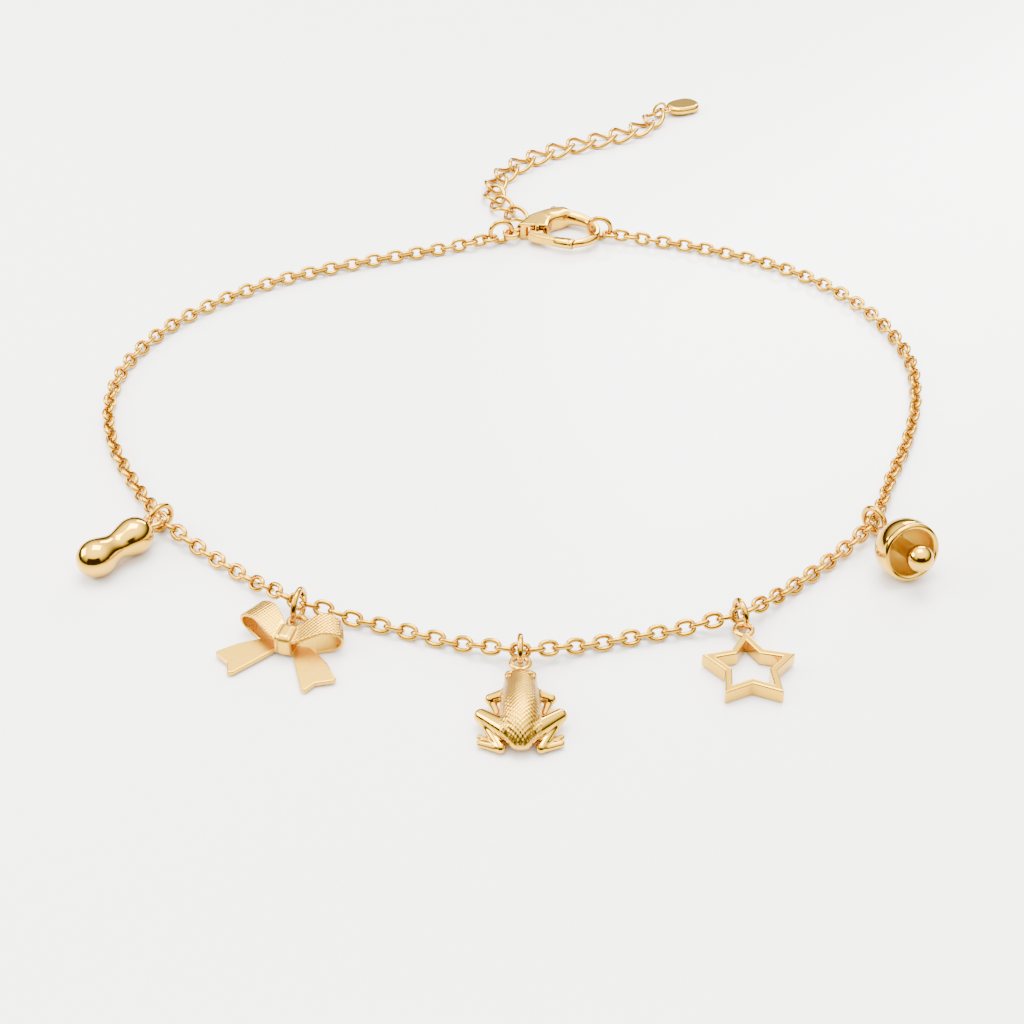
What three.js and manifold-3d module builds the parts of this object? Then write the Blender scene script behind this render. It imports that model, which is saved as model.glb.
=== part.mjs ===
// A gold charm necklace laid open on a table: a fine cable chain with five charms on jump rings,
// a lobster clasp that closes it at the back, and a tail of curb links that ends in a small drop.
// Millimetres, +Z up, the table is z = 0, and the wearer's front is towards -Y.
// The fine cable chain is one slim tube of the chain's own size, with its two end links modelled.
import * as THREE from "three";
import { mergeVertices } from "three/addons/utils/BufferGeometryUtils.js";
import Module from "manifold-3d";

const wasm = await Module();
wasm.setup();

// Driving dimensions
const CHAIN = { wire: 0.5, linkLength: 3.05, linkWidth: 2.3, radius: 0.75, sides: 8, steps: 78 };
const RING = { wire: 0.62, outer: 4.8, sides: 6, steps: 14 };
const EYE = { wire: 0.6, outer: 3.1, sides: 6, steps: 12 };
const TAIL = {
  wire: 0.58,
  width: 4.6,
  twist: -Math.PI / 4,
  links: 13,
  gap: 0.36,
  lastPitch: 0.06,
  sides: 5,
  steps: 12,
};
const DROP_RING = { wire: 0.5, outer: 3.4, sides: 6, steps: 12 };
const STAR = { radius: 6.6, waist: 0.557, wall: 0.98, thick: 2.2, eyeOverlap: 0.35 };
const CAP = {
  radius: 4.45,
  inner: 3.8,
  lip: 1.4,
  stalk: 1.15,
  bulb: 1.9,
  bulbOut: 3.8,
  crown: 7.85,
  side: -0.83,
};
const NECK = { radius: 0.5, eyeOuter: 2.5, eyeWire: 0.55 };
const CLASP = { mid: 1.7, thick: 3.4, slot: 0.92, lever: 0.78, pivot: new THREE.Vector2(4.6, 0.6) };
const PIN = { radius: 0.4, bodyBore: 0.5, leverBore: 0.52 };

// How a charm hangs on the chain: the ring stands upright on the table along its heading, the chain
// runs through it, and the charm's eye is caught on the side away from the wearer's neck.
const CLEAR = 0.05;
const ringHeight = RING.outer / 2 + CLEAR;
const CHARM_COLUMNS = ["eye", "yaw", "pitch", "ring", "heading", "outer", "lift"];
const CHARM_ROWS = {
  peanut: [[-52.1, -33.95], -43.3, 1.0, [-51.2, -32.7], 229, 4.8, 1.7],
  bow: [[-29.35, -54.9], -17.9, 1.0, [-29.3, -52.6], 257, 5.6, 2.7],
  frog: [[1.12, -63.0], 0, 0, [1.12, -61.1], 270, 4.8, 2.15],
  star: [[31.65, -55.75], 0.8, 0.5, [31.35, -53.85], 288, 4.8, 2.15],
  mushroom: [[54.0, -34.9], 19.1, -17.4, [52.71, -33.37], 310, 4.8, 1.9],
};
const CHARMS = Object.fromEntries(
  Object.entries(CHARM_ROWS).map(([charm, row]) => [
    charm,
    Object.fromEntries(CHARM_COLUMNS.map((column, i) => [column, row[i]])),
  ]),
);

// The chain's route as it lies, from the clasp's eye round the front to the clasp's hook.
const ROUTE = [
  { x: -8.0, y: 47.0 },
  { x: -16.0, y: 44.4 },
  { x: -24.2, y: 41.7 },
  { x: -32.7, y: 38.5 },
  { x: -41.6, y: 34.3 },
  { x: -50.0, y: 28.2 },
  { x: -57.5, y: 20.1 },
  { x: -62.5, y: 10.1 },
  { x: -63.9, y: -1.0 },
  { x: -61.8, y: -12.0 },
  { x: -57.2, y: -22.0 },
  { x: -51.1, y: -32.1, charm: "peanut" },
  { x: -43.8, y: -39.2 },
  { x: -37.2, y: -44.8 },
  { x: -29.7, y: -51.45, charm: "bow" },
  { x: -19.3, y: -54.2 },
  { x: -9.4, y: -57.6 },
  { x: 1.1, y: -60.76, charm: "frog" },
  { x: 10.6, y: -58.5 },
  { x: 20.5, y: -56.0 },
  { x: 31.2, y: -53.46, charm: "star" },
  { x: 38.9, y: -47.0 },
  { x: 45.8, y: -40.4 },
  { x: 52.65, y: -32.85, charm: "mushroom" },
  { x: 57.0, y: -21.8 },
  { x: 61.2, y: -11.7 },
  { x: 64.2, y: -1.0 },
  { x: 65.0, y: 10.4 },
  { x: 62.1, y: 21.4 },
  { x: 56.2, y: 31.1 },
  { x: 47.8, y: 38.7 },
  { x: 38.2, y: 43.9 },
  { x: 28.0, y: 47.6 },
];
const END_REACH = 0.8;

// The chain lies on the table and rises over a short, level stretch at each ring.
const LIE = 0.95;
const LIFT = { level: 2.6, fall: 7.5, end: 1.45 };

// The tail's route, from the clasp's back edge to its drop.
const TAIL_ROUTE = [
  { x: 2.4, y: 54.9 },
  { x: 0.1, y: 57.9 },
  { x: -2.7, y: 61.7 },
  { x: -3.7, y: 66.1 },
  { x: -2.9, y: 70.0 },
  { x: -1.0, y: 73.7 },
  { x: 2.2, y: 77.4 },
  { x: 6.2, y: 80.6 },
  { x: 10.5, y: 83.4 },
  { x: 15.2, y: 85.6 },
  { x: 19.6, y: 87.7 },
  { x: 23.8, y: 90.0 },
  { x: 27.3, y: 93.4 },
  { x: 28.9, y: 97.6 },
];

// Where the clasp and its two end rings lie
const CLASP_EYE = new THREE.Vector3(-0.1, 49.6, CLASP.mid);
const LEFT_RING = { heading: THREE.MathUtils.degToRad(14), reach: 1.9 };
const RIGHT_RING = { heading: THREE.MathUtils.degToRad(-8), x: 15.82, y: 0.85 };

const gold = (name, colour, roughness) =>
  new THREE.MeshStandardMaterial({ name, color: colour, roughness, metalness: 1 });
const chainGold = gold("chain_gold", 0xe8a94c, 0.22);
const polishedGold = gold("polished_gold", 0xf0c27a, 0.1);
const satinGold = gold("satin_gold", 0xe3b565, 0.38);

const necklace = new THREE.Group();

// Adds a named piece, whose geometry is in its own frame, and returns its mesh.
function piece(name, geometry, material, parent = necklace) {
  const mesh = new THREE.Mesh(geometry, material);
  mesh.name = name;
  parent.add(mesh);
  return mesh;
}

// A closed geometry as a solid that can be joined and cut
function solid(geometry) {
  const bare = new THREE.BufferGeometry();
  bare.setAttribute("position", geometry.getAttribute("position"));
  bare.setIndex(geometry.index);
  const merged = mergeVertices(bare, 1e-4);
  return new wasm.Manifold(
    new wasm.Mesh({
      numProp: 3,
      vertProperties: merged.attributes.position.array,
      triVerts: new Uint32Array(merged.index.array),
    }),
  );
}

function geometryOf(made) {
  const mesh = made.getMesh();
  const geometry = new THREE.BufferGeometry();
  geometry.setAttribute("position", new THREE.BufferAttribute(mesh.vertProperties, 3));
  geometry.setIndex(new THREE.BufferAttribute(mesh.triVerts, 1));
  geometry.computeVertexNormals();
  return geometry;
}

const joined = (...geometries) => geometries.map(solid).reduce((all, one) => all.add(one));

// A flat outline extruded evenly to both sides of z = 0, with rounded rims if edge is given.
function plate(outline, thick, edge = 0, segments = 2) {
  const geometry = new THREE.ExtrudeGeometry(outline, {
    depth: thick - 2 * edge,
    bevelEnabled: edge > 0,
    bevelThickness: edge,
    bevelSize: edge,
    bevelOffset: -edge,
    bevelSegments: segments,
    curveSegments: 10,
  });
  return geometry.translate(0, 0, edge - thick / 2);
}

const points2 = (pairs) => pairs.map(([x, y]) => new THREE.Vector2(x, y));

// A closed skin over rings of points, each ring with as many points as the last, ends drawn to a middle.
function skin(rings) {
  const sides = rings[0].length;
  const middle = (ring) => ring.reduce((sum, p) => sum.add(p), new THREE.Vector3()).divideScalar(sides);
  const points = [middle(rings[0]), ...rings.flat(), middle(rings[rings.length - 1])];
  const last = points.length - 1;
  const at = (row, side) => 1 + row * sides + (side % sides);
  const index = [];
  for (let side = 0; side < sides; side += 1) {
    index.push(0, at(0, side + 1), at(0, side));
    for (let row = 0; row < rings.length - 1; row += 1) {
      index.push(at(row, side), at(row, side + 1), at(row + 1, side + 1));
      index.push(at(row, side), at(row + 1, side + 1), at(row + 1, side));
    }
    index.push(last, at(rings.length - 1, side), at(rings.length - 1, side + 1));
  }
  const geometry = new THREE.BufferGeometry().setFromPoints(points);
  geometry.setIndex(index);
  return geometry;
}

// A body along -Y from rows of upright oval sections, with a blunt, rounded first and last row.
function ovalBody(rows, sides) {
  return skin(
    rows.map(({ along, half, mid, tall, side = 0 }) =>
      Array.from({ length: sides }, (_, i) => {
        const turn = (2 * Math.PI * i) / sides;
        return new THREE.Vector3(side + half * Math.cos(turn), -along, mid + tall * Math.sin(turn));
      }),
    ),
  );
}

// A limb: a tapered rod with round ends, from one point and radius to another.
function limb(from, fromRadius, to, toRadius, sides = 8) {
  const along = new THREE.Vector3().subVectors(to, from);
  const length = along.length();
  const lean = Math.asin((fromRadius - toRadius) / length);
  const profile = [];
  const arc = (radius, height, start, end, count) => {
    for (let i = 0; i <= count; i += 1) {
      const turn = start + ((end - start) * i) / count;
      profile.push(new THREE.Vector2(Math.max(0, radius * Math.cos(turn)), height + radius * Math.sin(turn)));
    }
  };
  arc(fromRadius, 0, -Math.PI / 2, lean, 3);
  arc(toRadius, length, lean, Math.PI / 2, 3);
  const geometry = new THREE.LatheGeometry(profile, sides);
  geometry.applyQuaternion(
    new THREE.Quaternion().setFromUnitVectors(new THREE.Vector3(0, 1, 0), along.normalize()),
  );
  return geometry.translate(from.x, from.y, from.z);
}

// An oval link along X, its ends turned by -twist and +twist about X, as a curb link's are.
class LinkCurve extends THREE.Curve {
  constructor(halfLength, halfWidth, twist) {
    super();
    Object.assign(this, { halfLength, halfWidth, twist });
  }
  getPoint(t, target = new THREE.Vector3()) {
    const turn = 2 * Math.PI * t;
    const across = this.halfWidth * Math.sin(turn);
    const roll = this.twist * Math.cos(turn);
    return target.set(this.halfLength * Math.cos(turn), across * Math.cos(roll), across * Math.sin(roll));
  }
}

const linkGeometry = (length, width, twist, wire, steps, sides) =>
  new THREE.TubeGeometry(
    new LinkCurve((length - wire) / 2, (width - wire) / 2, twist),
    steps,
    wire / 2,
    sides,
    true,
  );

const ringGeometry = ({ outer, wire, sides, steps }) =>
  new THREE.TorusGeometry((outer - wire) / 2, wire / 2, sides, steps);

const eyeGeometry = () => ringGeometry(EYE);

// Turns a ring so that it stands upright in the vertical plane that runs along a heading.
function standRing(mesh, centre, heading) {
  mesh.rotation.set(Math.PI / 2, 0, heading, "ZYX");
  mesh.position.copy(centre);
}

// A stretch of a longer curve
class Stretch extends THREE.Curve {
  constructor(whole, from, to) {
    super();
    Object.assign(this, { whole, from, to });
  }
  getPoint(t, target) {
    return this.whole.getPoint(this.from + (this.to - this.from) * t, target);
  }
}

const flatDirection = (angle) => new THREE.Vector3(Math.cos(angle), Math.sin(angle), 0);

// The rings that join the chain's two ends to the clasp, and the points where the end links start
const leftRingCentre = CLASP_EYE.clone()
  .addScaledVector(flatDirection(LEFT_RING.heading), -LEFT_RING.reach)
  .setZ(ringHeight);
const rightRingCentre = new THREE.Vector3(
  CLASP_EYE.x + RIGHT_RING.x,
  CLASP_EYE.y + RIGHT_RING.y,
  ringHeight,
);
const leftTip = leftRingCentre
  .clone()
  .addScaledVector(flatDirection(LEFT_RING.heading), -END_REACH);
const rightTip = rightRingCentre
  .clone()
  .addScaledVector(flatDirection(RIGHT_RING.heading), END_REACH);

const plan = new THREE.CatmullRomCurve3(
  [leftTip, ...ROUTE.map(({ x, y }) => new THREE.Vector3(x, y, 0)), rightTip].map((point) =>
    point.clone().setZ(0),
  ),
  false,
  "catmullrom",
  0.5,
);
plan.arcLengthDivisions = 1400;
const planLengths = plan.getLengths();
const planLength = planLengths[planLengths.length - 1];
const shareAt = (row) => (row + 1) / (ROUTE.length + 1);
const lengthAt = (share) => planLengths[Math.round(share * plan.arcLengthDivisions)];

// The places along the chain where it is lifted, and how high
const lifts = [
  { at: 0, height: LIFT.end },
  ...ROUTE.flatMap(({ charm }, row) =>
    charm ? [{ at: lengthAt(shareAt(row)), height: CHARMS[charm].lift }] : [],
  ),
  { at: planLength, height: LIFT.end },
];

// The chain's middle line, by share of its length
class Route extends THREE.Curve {
  getPoint(t, target = new THREE.Vector3()) {
    plan.getPointAt(t, target);
    const rise = lifts.map(({ at, height }) => {
      const away = (Math.abs(t * planLength - at) - LIFT.level) / LIFT.fall;
      return (height - LIE) * (1 - THREE.MathUtils.smoothstep(away, 0, 1));
    });
    return target.setZ(LIE + Math.max(...rise));
  }
}
const route = new Route();

// One solid for the cable chain: its tube, with a real link at each end
function chain() {
  const halfLink = (CHAIN.linkLength - CHAIN.wire) / 2;
  const start = (2 * halfLink - CHAIN.wire) / planLength;
  const section = new THREE.Shape(
    Array.from({ length: CHAIN.sides }, (_, i) => {
      const turn = ((i + 0.5) * 2 * Math.PI) / CHAIN.sides;
      return new THREE.Vector2(CHAIN.radius * Math.cos(turn), CHAIN.radius * Math.sin(turn));
    }),
  );
  const tube = new THREE.ExtrudeGeometry(section, {
    steps: CHAIN.steps,
    bevelEnabled: false,
    extrudePath: new Stretch(route, start, 1 - start),
  });
  const endLinks = [0, 1].map((end) => {
    const at = end + ((1 - 2 * end) * halfLink) / planLength;
    const along = route.getTangent(at);
    const centre = route.getPoint(at);
    const link = linkGeometry(CHAIN.linkLength, CHAIN.linkWidth, 0, CHAIN.wire, 12, 6);
    link.applyQuaternion(new THREE.Quaternion().setFromUnitVectors(new THREE.Vector3(1, 0, 0), along));
    return link.translate(centre.x, centre.y, centre.z);
  });
  piece("cable_chain", geometryOf(joined(tube, ...endLinks)), chainGold);
}

const degrees = THREE.MathUtils.degToRad;

// Hangs a charm by its eye, which is the origin of the charm's own frame: the charm reaches
// along its -Y and faces +Z. It is lowered until it rests on the table.
function hang(charm, geometry, material) {
  const { eye, yaw, pitch, ring, heading, outer } = CHARMS[charm];
  const mesh = piece(`${charm}_charm`, geometry, material);
  mesh.rotation.set(degrees(pitch), 0, degrees(yaw), "ZYX");
  mesh.position.set(...eye, 0);
  mesh.updateMatrixWorld(true);
  mesh.position.z = CLEAR - new THREE.Box3().setFromObject(mesh, true).min.z;
  const caught = piece(`${charm}_ring`, ringGeometry({ ...RING, outer }), chainGold);
  standRing(caught, new THREE.Vector3(...ring, outer / 2 + CLEAR), degrees(heading));
}

// Star: a cast five-point outline with a star-shaped hole, and an eye at its top point
function star() {
  const { radius, waist, wall, thick, eyeOverlap } = STAR;
  const outline = (size) =>
    Array.from({ length: 10 }, (_, i) => {
      const reach = i % 2 ? size * waist : size;
      const turn = Math.PI / 2 + (i * Math.PI) / 5;
      return new THREE.Vector2(reach * Math.cos(turn), reach * Math.sin(turn));
    });
  const tip = Math.atan2(waist * Math.sin(Math.PI / 5), 1 - waist * Math.cos(Math.PI / 5));
  const shape = new THREE.Shape(outline(radius));
  shape.holes.push(new THREE.Path(outline(radius - wall / Math.sin(tip)).reverse()));
  const body = plate(shape, thick, 0.12, 1);
  body.translate(0, -(radius + EYE.outer / 2 - eyeOverlap), 0);
  return geometryOf(joined(body, eyeGeometry()));
}

// Peanut: two round lobes with a waist between, and an eye at the smaller end
const PEANUT = [
  { along: 1.1, half: 0.5 },
  { along: 1.4, half: 1.25 },
  { along: 2.2, half: 2.1 },
  { along: 3.3, half: 2.55 },
  { along: 4.3, half: 2.58 },
  { along: 5.6, half: 2.25 },
  { along: 7.2, half: 2.05 },
  { along: 8.6, half: 2.25 },
  { along: 9.8, half: 2.6 },
  { along: 11.0, half: 2.7 },
  { along: 12.2, half: 2.45 },
  { along: 13.1, half: 1.75 },
  { along: 13.55, half: 0.8 },
];
const PEANUT_SIDE = 0.76;

function peanut() {
  const rows = PEANUT.map(({ along, half }) => ({ along, half, tall: half, mid: 0.05, side: PEANUT_SIDE }));
  return geometryOf(joined(ovalBody(rows, 16), eyeGeometry()));
}

// Frog: body, two eye bumps, folded arms and legs, and an eye ring at its nose
const FROG_BODY = [
  { along: 1.25, half: 0.6, tall: 0.4, mid: -0.05 },
  { along: 2.0, half: 1.35, tall: 0.75, mid: 0.0 },
  { along: 3.0, half: 1.9, tall: 1.15, mid: 0.1 },
  { along: 4.2, half: 2.1, tall: 1.5, mid: 0.2 },
  { along: 5.6, half: 2.3, tall: 1.8, mid: 0.35 },
  { along: 7.4, half: 2.6, tall: 2.2, mid: 0.55 },
  { along: 9.6, half: 2.85, tall: 2.5, mid: 0.7 },
  { along: 11.6, half: 2.75, tall: 2.35, mid: 0.6 },
  { along: 13.4, half: 2.3, tall: 1.9, mid: 0.25 },
  { along: 14.8, half: 1.6, tall: 1.2, mid: 0.0 },
  { along: 15.5, half: 0.7, tall: 0.55, mid: -0.05 },
];
const FROG_LIMBS = [
  { from: [1.6, -6.3, 0.4], to: [4.0, -6.55, -0.2], start: 0.8, end: 0.58 },
  { from: [4.0, -6.55, -0.3], to: [3.1, -8.3, -1.15], start: 0.56, end: 0.42 },
  { from: [1.9, -13.0, 0.2], to: [5.2, -9.9, 0.0], start: 1.1, end: 0.82 },
  { from: [5.2, -9.9, -0.1], to: [2.6, -14.8, -1.0], start: 0.8, end: 0.64 },
  { from: [2.6, -14.8, -1.1], to: [5.2, -13.8, -1.2], start: 0.6, end: 0.48 },
  { from: [2.6, -14.8, -1.1], to: [5.3, -12.6, -1.2], start: 0.5, end: 0.4 },
];
const FROG_EYE = { side: 1.38, along: 3.4, height: 0.9, radius: 0.62 };

function frog() {
  const parts = [ovalBody(FROG_BODY, 14), eyeGeometry()];
  for (const side of [-1, 1]) {
    const mirrored = ([x, y, z]) => new THREE.Vector3(side * x, y, z);
    for (const { from, to, start, end } of FROG_LIMBS) {
      parts.push(limb(mirrored(from), start, mirrored(to), end));
    }
    const bump = new THREE.SphereGeometry(FROG_EYE.radius, 8, 6);
    parts.push(bump.translate(side * FROG_EYE.side, -FROG_EYE.along, FROG_EYE.height));
  }
  return geometryOf(joined(...parts));
}

// Mushroom: a hollow round cap with a thick lip, a stalk inside it that ends in a bulb,
// and an eye on the crown
function mushroom() {
  const { radius, inner, lip, stalk, bulb, bulbOut, crown, side } = CAP;
  const profile = [];
  const arc = (size, height, start, end, count) => {
    for (let i = 0; i <= count; i += 1) {
      const turn = start + ((end - start) * i) / count;
      profile.push(new THREE.Vector2(Math.max(0, size * Math.cos(turn)), height + size * Math.sin(turn)));
    }
  };
  const bulbJoin = Math.acos(stalk / bulb);
  arc(bulb, -bulbOut, -Math.PI / 2, bulbJoin, 8);
  const innerLip = Math.asin(lip / inner);
  arc(inner, 0, Math.acos(stalk / inner), -innerLip, 7);
  arc(radius, 0, -Math.asin(lip / radius), Math.PI / 2, 9);
  const cap = new THREE.LatheGeometry(profile, 20).translate(side, -crown, 0);
  const eye = { ...EYE, outer: NECK.eyeOuter, wire: NECK.eyeWire };
  const neckFrom = new THREE.Vector3(side, radius - 0.4 - crown, 0);
  const neckTo = new THREE.Vector3(0, (eye.wire - eye.outer) / 2, 0);
  const neck = limb(neckFrom, NECK.radius, neckTo, NECK.radius - 0.1);
  return geometryOf(joined(cap, neck, ringGeometry(eye)));
}

// Bow: two ribbon loops, two forked tails and the band round the middle, all one casting
const RIBBON = 0.5;
const LOOP = [
  { out: 0.4, height: -1.15, low: -1.7, high: 1.0 },
  { out: 2.4, height: -1.45, low: -1.8, high: 1.3 },
  { out: 4.6, height: -1.6, low: -1.5, high: 2.2 },
  { out: 6.4, height: -1.3, low: -1.5, high: 2.5 },
  { out: 7.3, height: -0.4, low: -1.75, high: 2.2 },
  { out: 7.45, height: 0.6, low: -1.8, high: 1.9 },
  { out: 6.7, height: 1.4, low: -1.6, high: 2.3 },
  { out: 5.0, height: 1.75, low: -1.4, high: 2.5 },
  { out: 3.2, height: 1.55, low: -1.65, high: 2.0 },
  { out: 1.6, height: 1.15, low: -1.8, high: 1.3 },
  { out: 0.4, height: 0.9, low: -1.7, high: 1.0 },
];
const LOOP_RISE = degrees(26);
const BOW_TAIL = [
  [0.5, 0.5],
  [1.1, -1.0],
  [2.85, -3.85],
  [4.95, -7.15],
  [5.6, -7.35],
  [6.4, -5.7],
  [8.4, -4.6],
  [8.75, -3.95],
  [6.4, -1.5],
  [3.35, 0.55],
];
const BOW_TAIL_HEIGHT = -1.2;
const KNOT = { wide: 2.6, long: 3.5, tall: 3.4, drop: 3.75 };

function ribbonLoop(rows) {
  const rings = rows.map(({ out, height, low, high }, i) => {
    const before = rows[Math.max(0, i - 1)];
    const after = rows[Math.min(rows.length - 1, i + 1)];
    const slope = new THREE.Vector2(after.out - before.out, after.height - before.height).normalize();
    const inward = new THREE.Vector2(-slope.y, slope.x).multiplyScalar(RIBBON / 2);
    return [
      new THREE.Vector3(out - inward.x, low, height - inward.y),
      new THREE.Vector3(out + inward.x, low, height + inward.y),
      new THREE.Vector3(out + inward.x, high, height + inward.y),
      new THREE.Vector3(out - inward.x, high, height - inward.y),
    ];
  });
  return skin(rings.reverse());
}

function bow() {
  const parts = [];
  for (const side of [0, 1]) {
    const loop = ribbonLoop(LOOP).rotateZ(side ? Math.PI - LOOP_RISE : LOOP_RISE);
    parts.push(loop.translate(0, -KNOT.drop, 0));
    const outline = side ? BOW_TAIL.map(([x, y]) => [-x, y]) : BOW_TAIL;
    const tail = plate(new THREE.Shape(points2(outline)), 0.68, 0.15, 1);
    parts.push(tail.translate(0, -KNOT.drop, BOW_TAIL_HEIGHT));
  }
  const knot = ovalBody(
    [
      { along: 0, half: 1.0, tall: 1.15, mid: 0 },
      { along: 0.35, half: KNOT.wide / 2, tall: KNOT.tall / 2, mid: 0.1 },
      { along: KNOT.long - 0.35, half: KNOT.wide / 2, tall: KNOT.tall / 2, mid: 0.1 },
      { along: KNOT.long, half: 1.0, tall: 1.15, mid: 0 },
    ],
    12,
  );
  parts.push(knot.translate(0, KNOT.long / 2 - KNOT.drop, 0));
  const neck = limb(new THREE.Vector3(0, -2.6, 0), 0.7, new THREE.Vector3(0, -1.45, 0), 0.4);
  parts.push(neck, eyeGeometry());
  return geometryOf(joined(...parts));
}

// Clasp, in its own frame: the origin is the middle of its eye, +X runs to the hook's end,
// +Y is its back edge and z = 0 is its middle plane
const SHOULDER = [
  [0.9, -0.75],
  [2.2, -0.95],
  [4.2, -1.75],
  [6.6, -2.55],
  [7.3, -1.9],
  [6.7, -0.2],
  [6.9, 1.9],
  [7.8, 3.6],
  [9.4, 4.75],
  [9.6, 7.1],
  [7.2, 6.7],
  [5.0, 5.9],
  [3.2, 4.5],
  [1.9, 2.4],
  [0.9, 0.8],
];
const HOOK = [
  { x: 7.6, y: 5.4, wide: 2.5, tall: 3.0 },
  { x: 10.1, y: 5.85, wide: 2.5, tall: 2.8 },
  { x: 12.6, y: 5.05, wide: 2.35, tall: 2.4 },
  { x: 14.6, y: 3.2, wide: 1.85, tall: 1.9 },
  { x: 15.35, y: 0.9, wide: 1.45, tall: 1.5 },
  { x: 14.8, y: -1.3, wide: 1.5, tall: 1.55 },
  { x: 13.2, y: -2.75, wide: 1.65, tall: 1.6 },
  { x: 10.4, y: -3.55, wide: 1.65, tall: 1.6 },
];
const LEVER_GATE = [
  [3.7, 0.6],
  [3.0, -0.5],
  [3.0, -1.15],
  [4.4, -2.0],
  [7.0, -3.1],
  [10.7, -4.0],
  [11.2, -2.75],
  [8.2, -2.1],
  [6.0, -0.9],
  [5.5, 0.6],
];
const LEVER_TAB = [
  [3.9, 1.2],
  [5.6, 0.3],
  [7.55, 5.0],
  [8.2, 7.6],
  [7.75, 8.4],
  [6.95, 8.1],
  [6.3, 6.6],
];
const SLOT = [
  [2.7, -3.2],
  [2.5, 0.5],
  [3.1, 1.8],
  [4.1, 7.5],
  [4.1, 9.2],
  [9.3, 9.2],
  [8.1, 5.2],
  [6.35, 1.2],
  [6.3, 0.2],
  [8.2, -1.0],
  [8.2, -4.4],
];
const SEAM = { radius: 7.88, from: degrees(-70), to: degrees(-5) };
const LUG = { x: 2.75, y: 5.15, z: -0.73, outer: 2.5, wire: 0.45 };

function sweptHook() {
  const rings = HOOK.map(({ x, y, wide, tall }, i) => {
    const before = HOOK[Math.max(0, i - 1)];
    const after = HOOK[Math.min(HOOK.length - 1, i + 1)];
    const across = new THREE.Vector2(-(after.y - before.y), after.x - before.x).normalize();
    return Array.from({ length: 10 }, (_, k) => {
      const turn = (2 * Math.PI * k) / 10;
      const reach = (wide / 2) * Math.cos(turn);
      return new THREE.Vector3(x + across.x * reach, y + across.y * reach, (tall / 2) * Math.sin(turn));
    });
  });
  return skin(rings);
}

function bore(radius, length) {
  const geometry = new THREE.CylinderGeometry(radius, radius, length, 12).rotateX(Math.PI / 2);
  return geometry.translate(CLASP.pivot.x, CLASP.pivot.y, 0);
}

function claspBody() {
  const shoulder = plate(new THREE.Shape(points2(SHOULDER)), CLASP.thick, 0.55, 2);
  const eyeOutline = new THREE.Shape().absarc(0, 0, 1.6, 0, 2 * Math.PI);
  eyeOutline.holes.push(new THREE.Path().absarc(0, 0, 0.95, 0, 2 * Math.PI, true));
  const eye = plate(eyeOutline, 1.1, 0.2, 1);
  const lug = ringGeometry({ ...LUG, sides: 6, steps: 10 }).translate(LUG.x, LUG.y, LUG.z);
  const slot = plate(new THREE.Shape(points2(SLOT)), 2 * CLASP.slot);
  const swing = new THREE.Shape();
  swing.absarc(CLASP.pivot.x, CLASP.pivot.y, SEAM.radius, SEAM.from, SEAM.to);
  swing.lineTo(CLASP.pivot.x, CLASP.pivot.y);
  const hook = solid(sweptHook()).subtract(solid(plate(swing, 2 * CLASP.thick)));
  return geometryOf(
    joined(shoulder, eye, lug)
      .add(hook)
      .subtract(solid(slot))
      .subtract(solid(bore(PIN.bodyBore, 2 * CLASP.thick))),
  );
}

function claspLever() {
  const thick = 2 * CLASP.lever;
  const hub = new THREE.Shape().absarc(CLASP.pivot.x, CLASP.pivot.y, 1.25, 0, 2 * Math.PI);
  return geometryOf(
    joined(
      plate(hub, thick),
      plate(new THREE.Shape(points2(LEVER_GATE)), thick, 0.15, 1),
      plate(new THREE.Shape(points2(LEVER_TAB)), thick, 0.15, 1),
    ).subtract(solid(bore(PIN.leverBore, 2 * CLASP.thick))),
  );
}

function clasp() {
  const group = new THREE.Group();
  group.position.copy(CLASP_EYE);
  piece("clasp_body", claspBody(), polishedGold, group);
  piece("clasp_lever", claspLever(), polishedGold, group);
  piece("clasp_pin", bore(PIN.radius, CLASP.thick - 0.3), polishedGold, group);
  necklace.add(group);
  const left = piece("left_end_ring", ringGeometry(RING), chainGold);
  standRing(left, leftRingCentre, LEFT_RING.heading);
  const right = piece("right_end_ring", ringGeometry(RING), chainGold);
  standRing(right, rightRingCentre, RIGHT_RING.heading);
}

// Tail: curb links, each its own piece, hooked from the clasp's lug to the drop's ring
const DROP = { long: 6.2, wide: 5.0, thick: 1.5, lift: 1.25, eyeOuter: 2.2, eyeWire: 0.5 };

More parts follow.
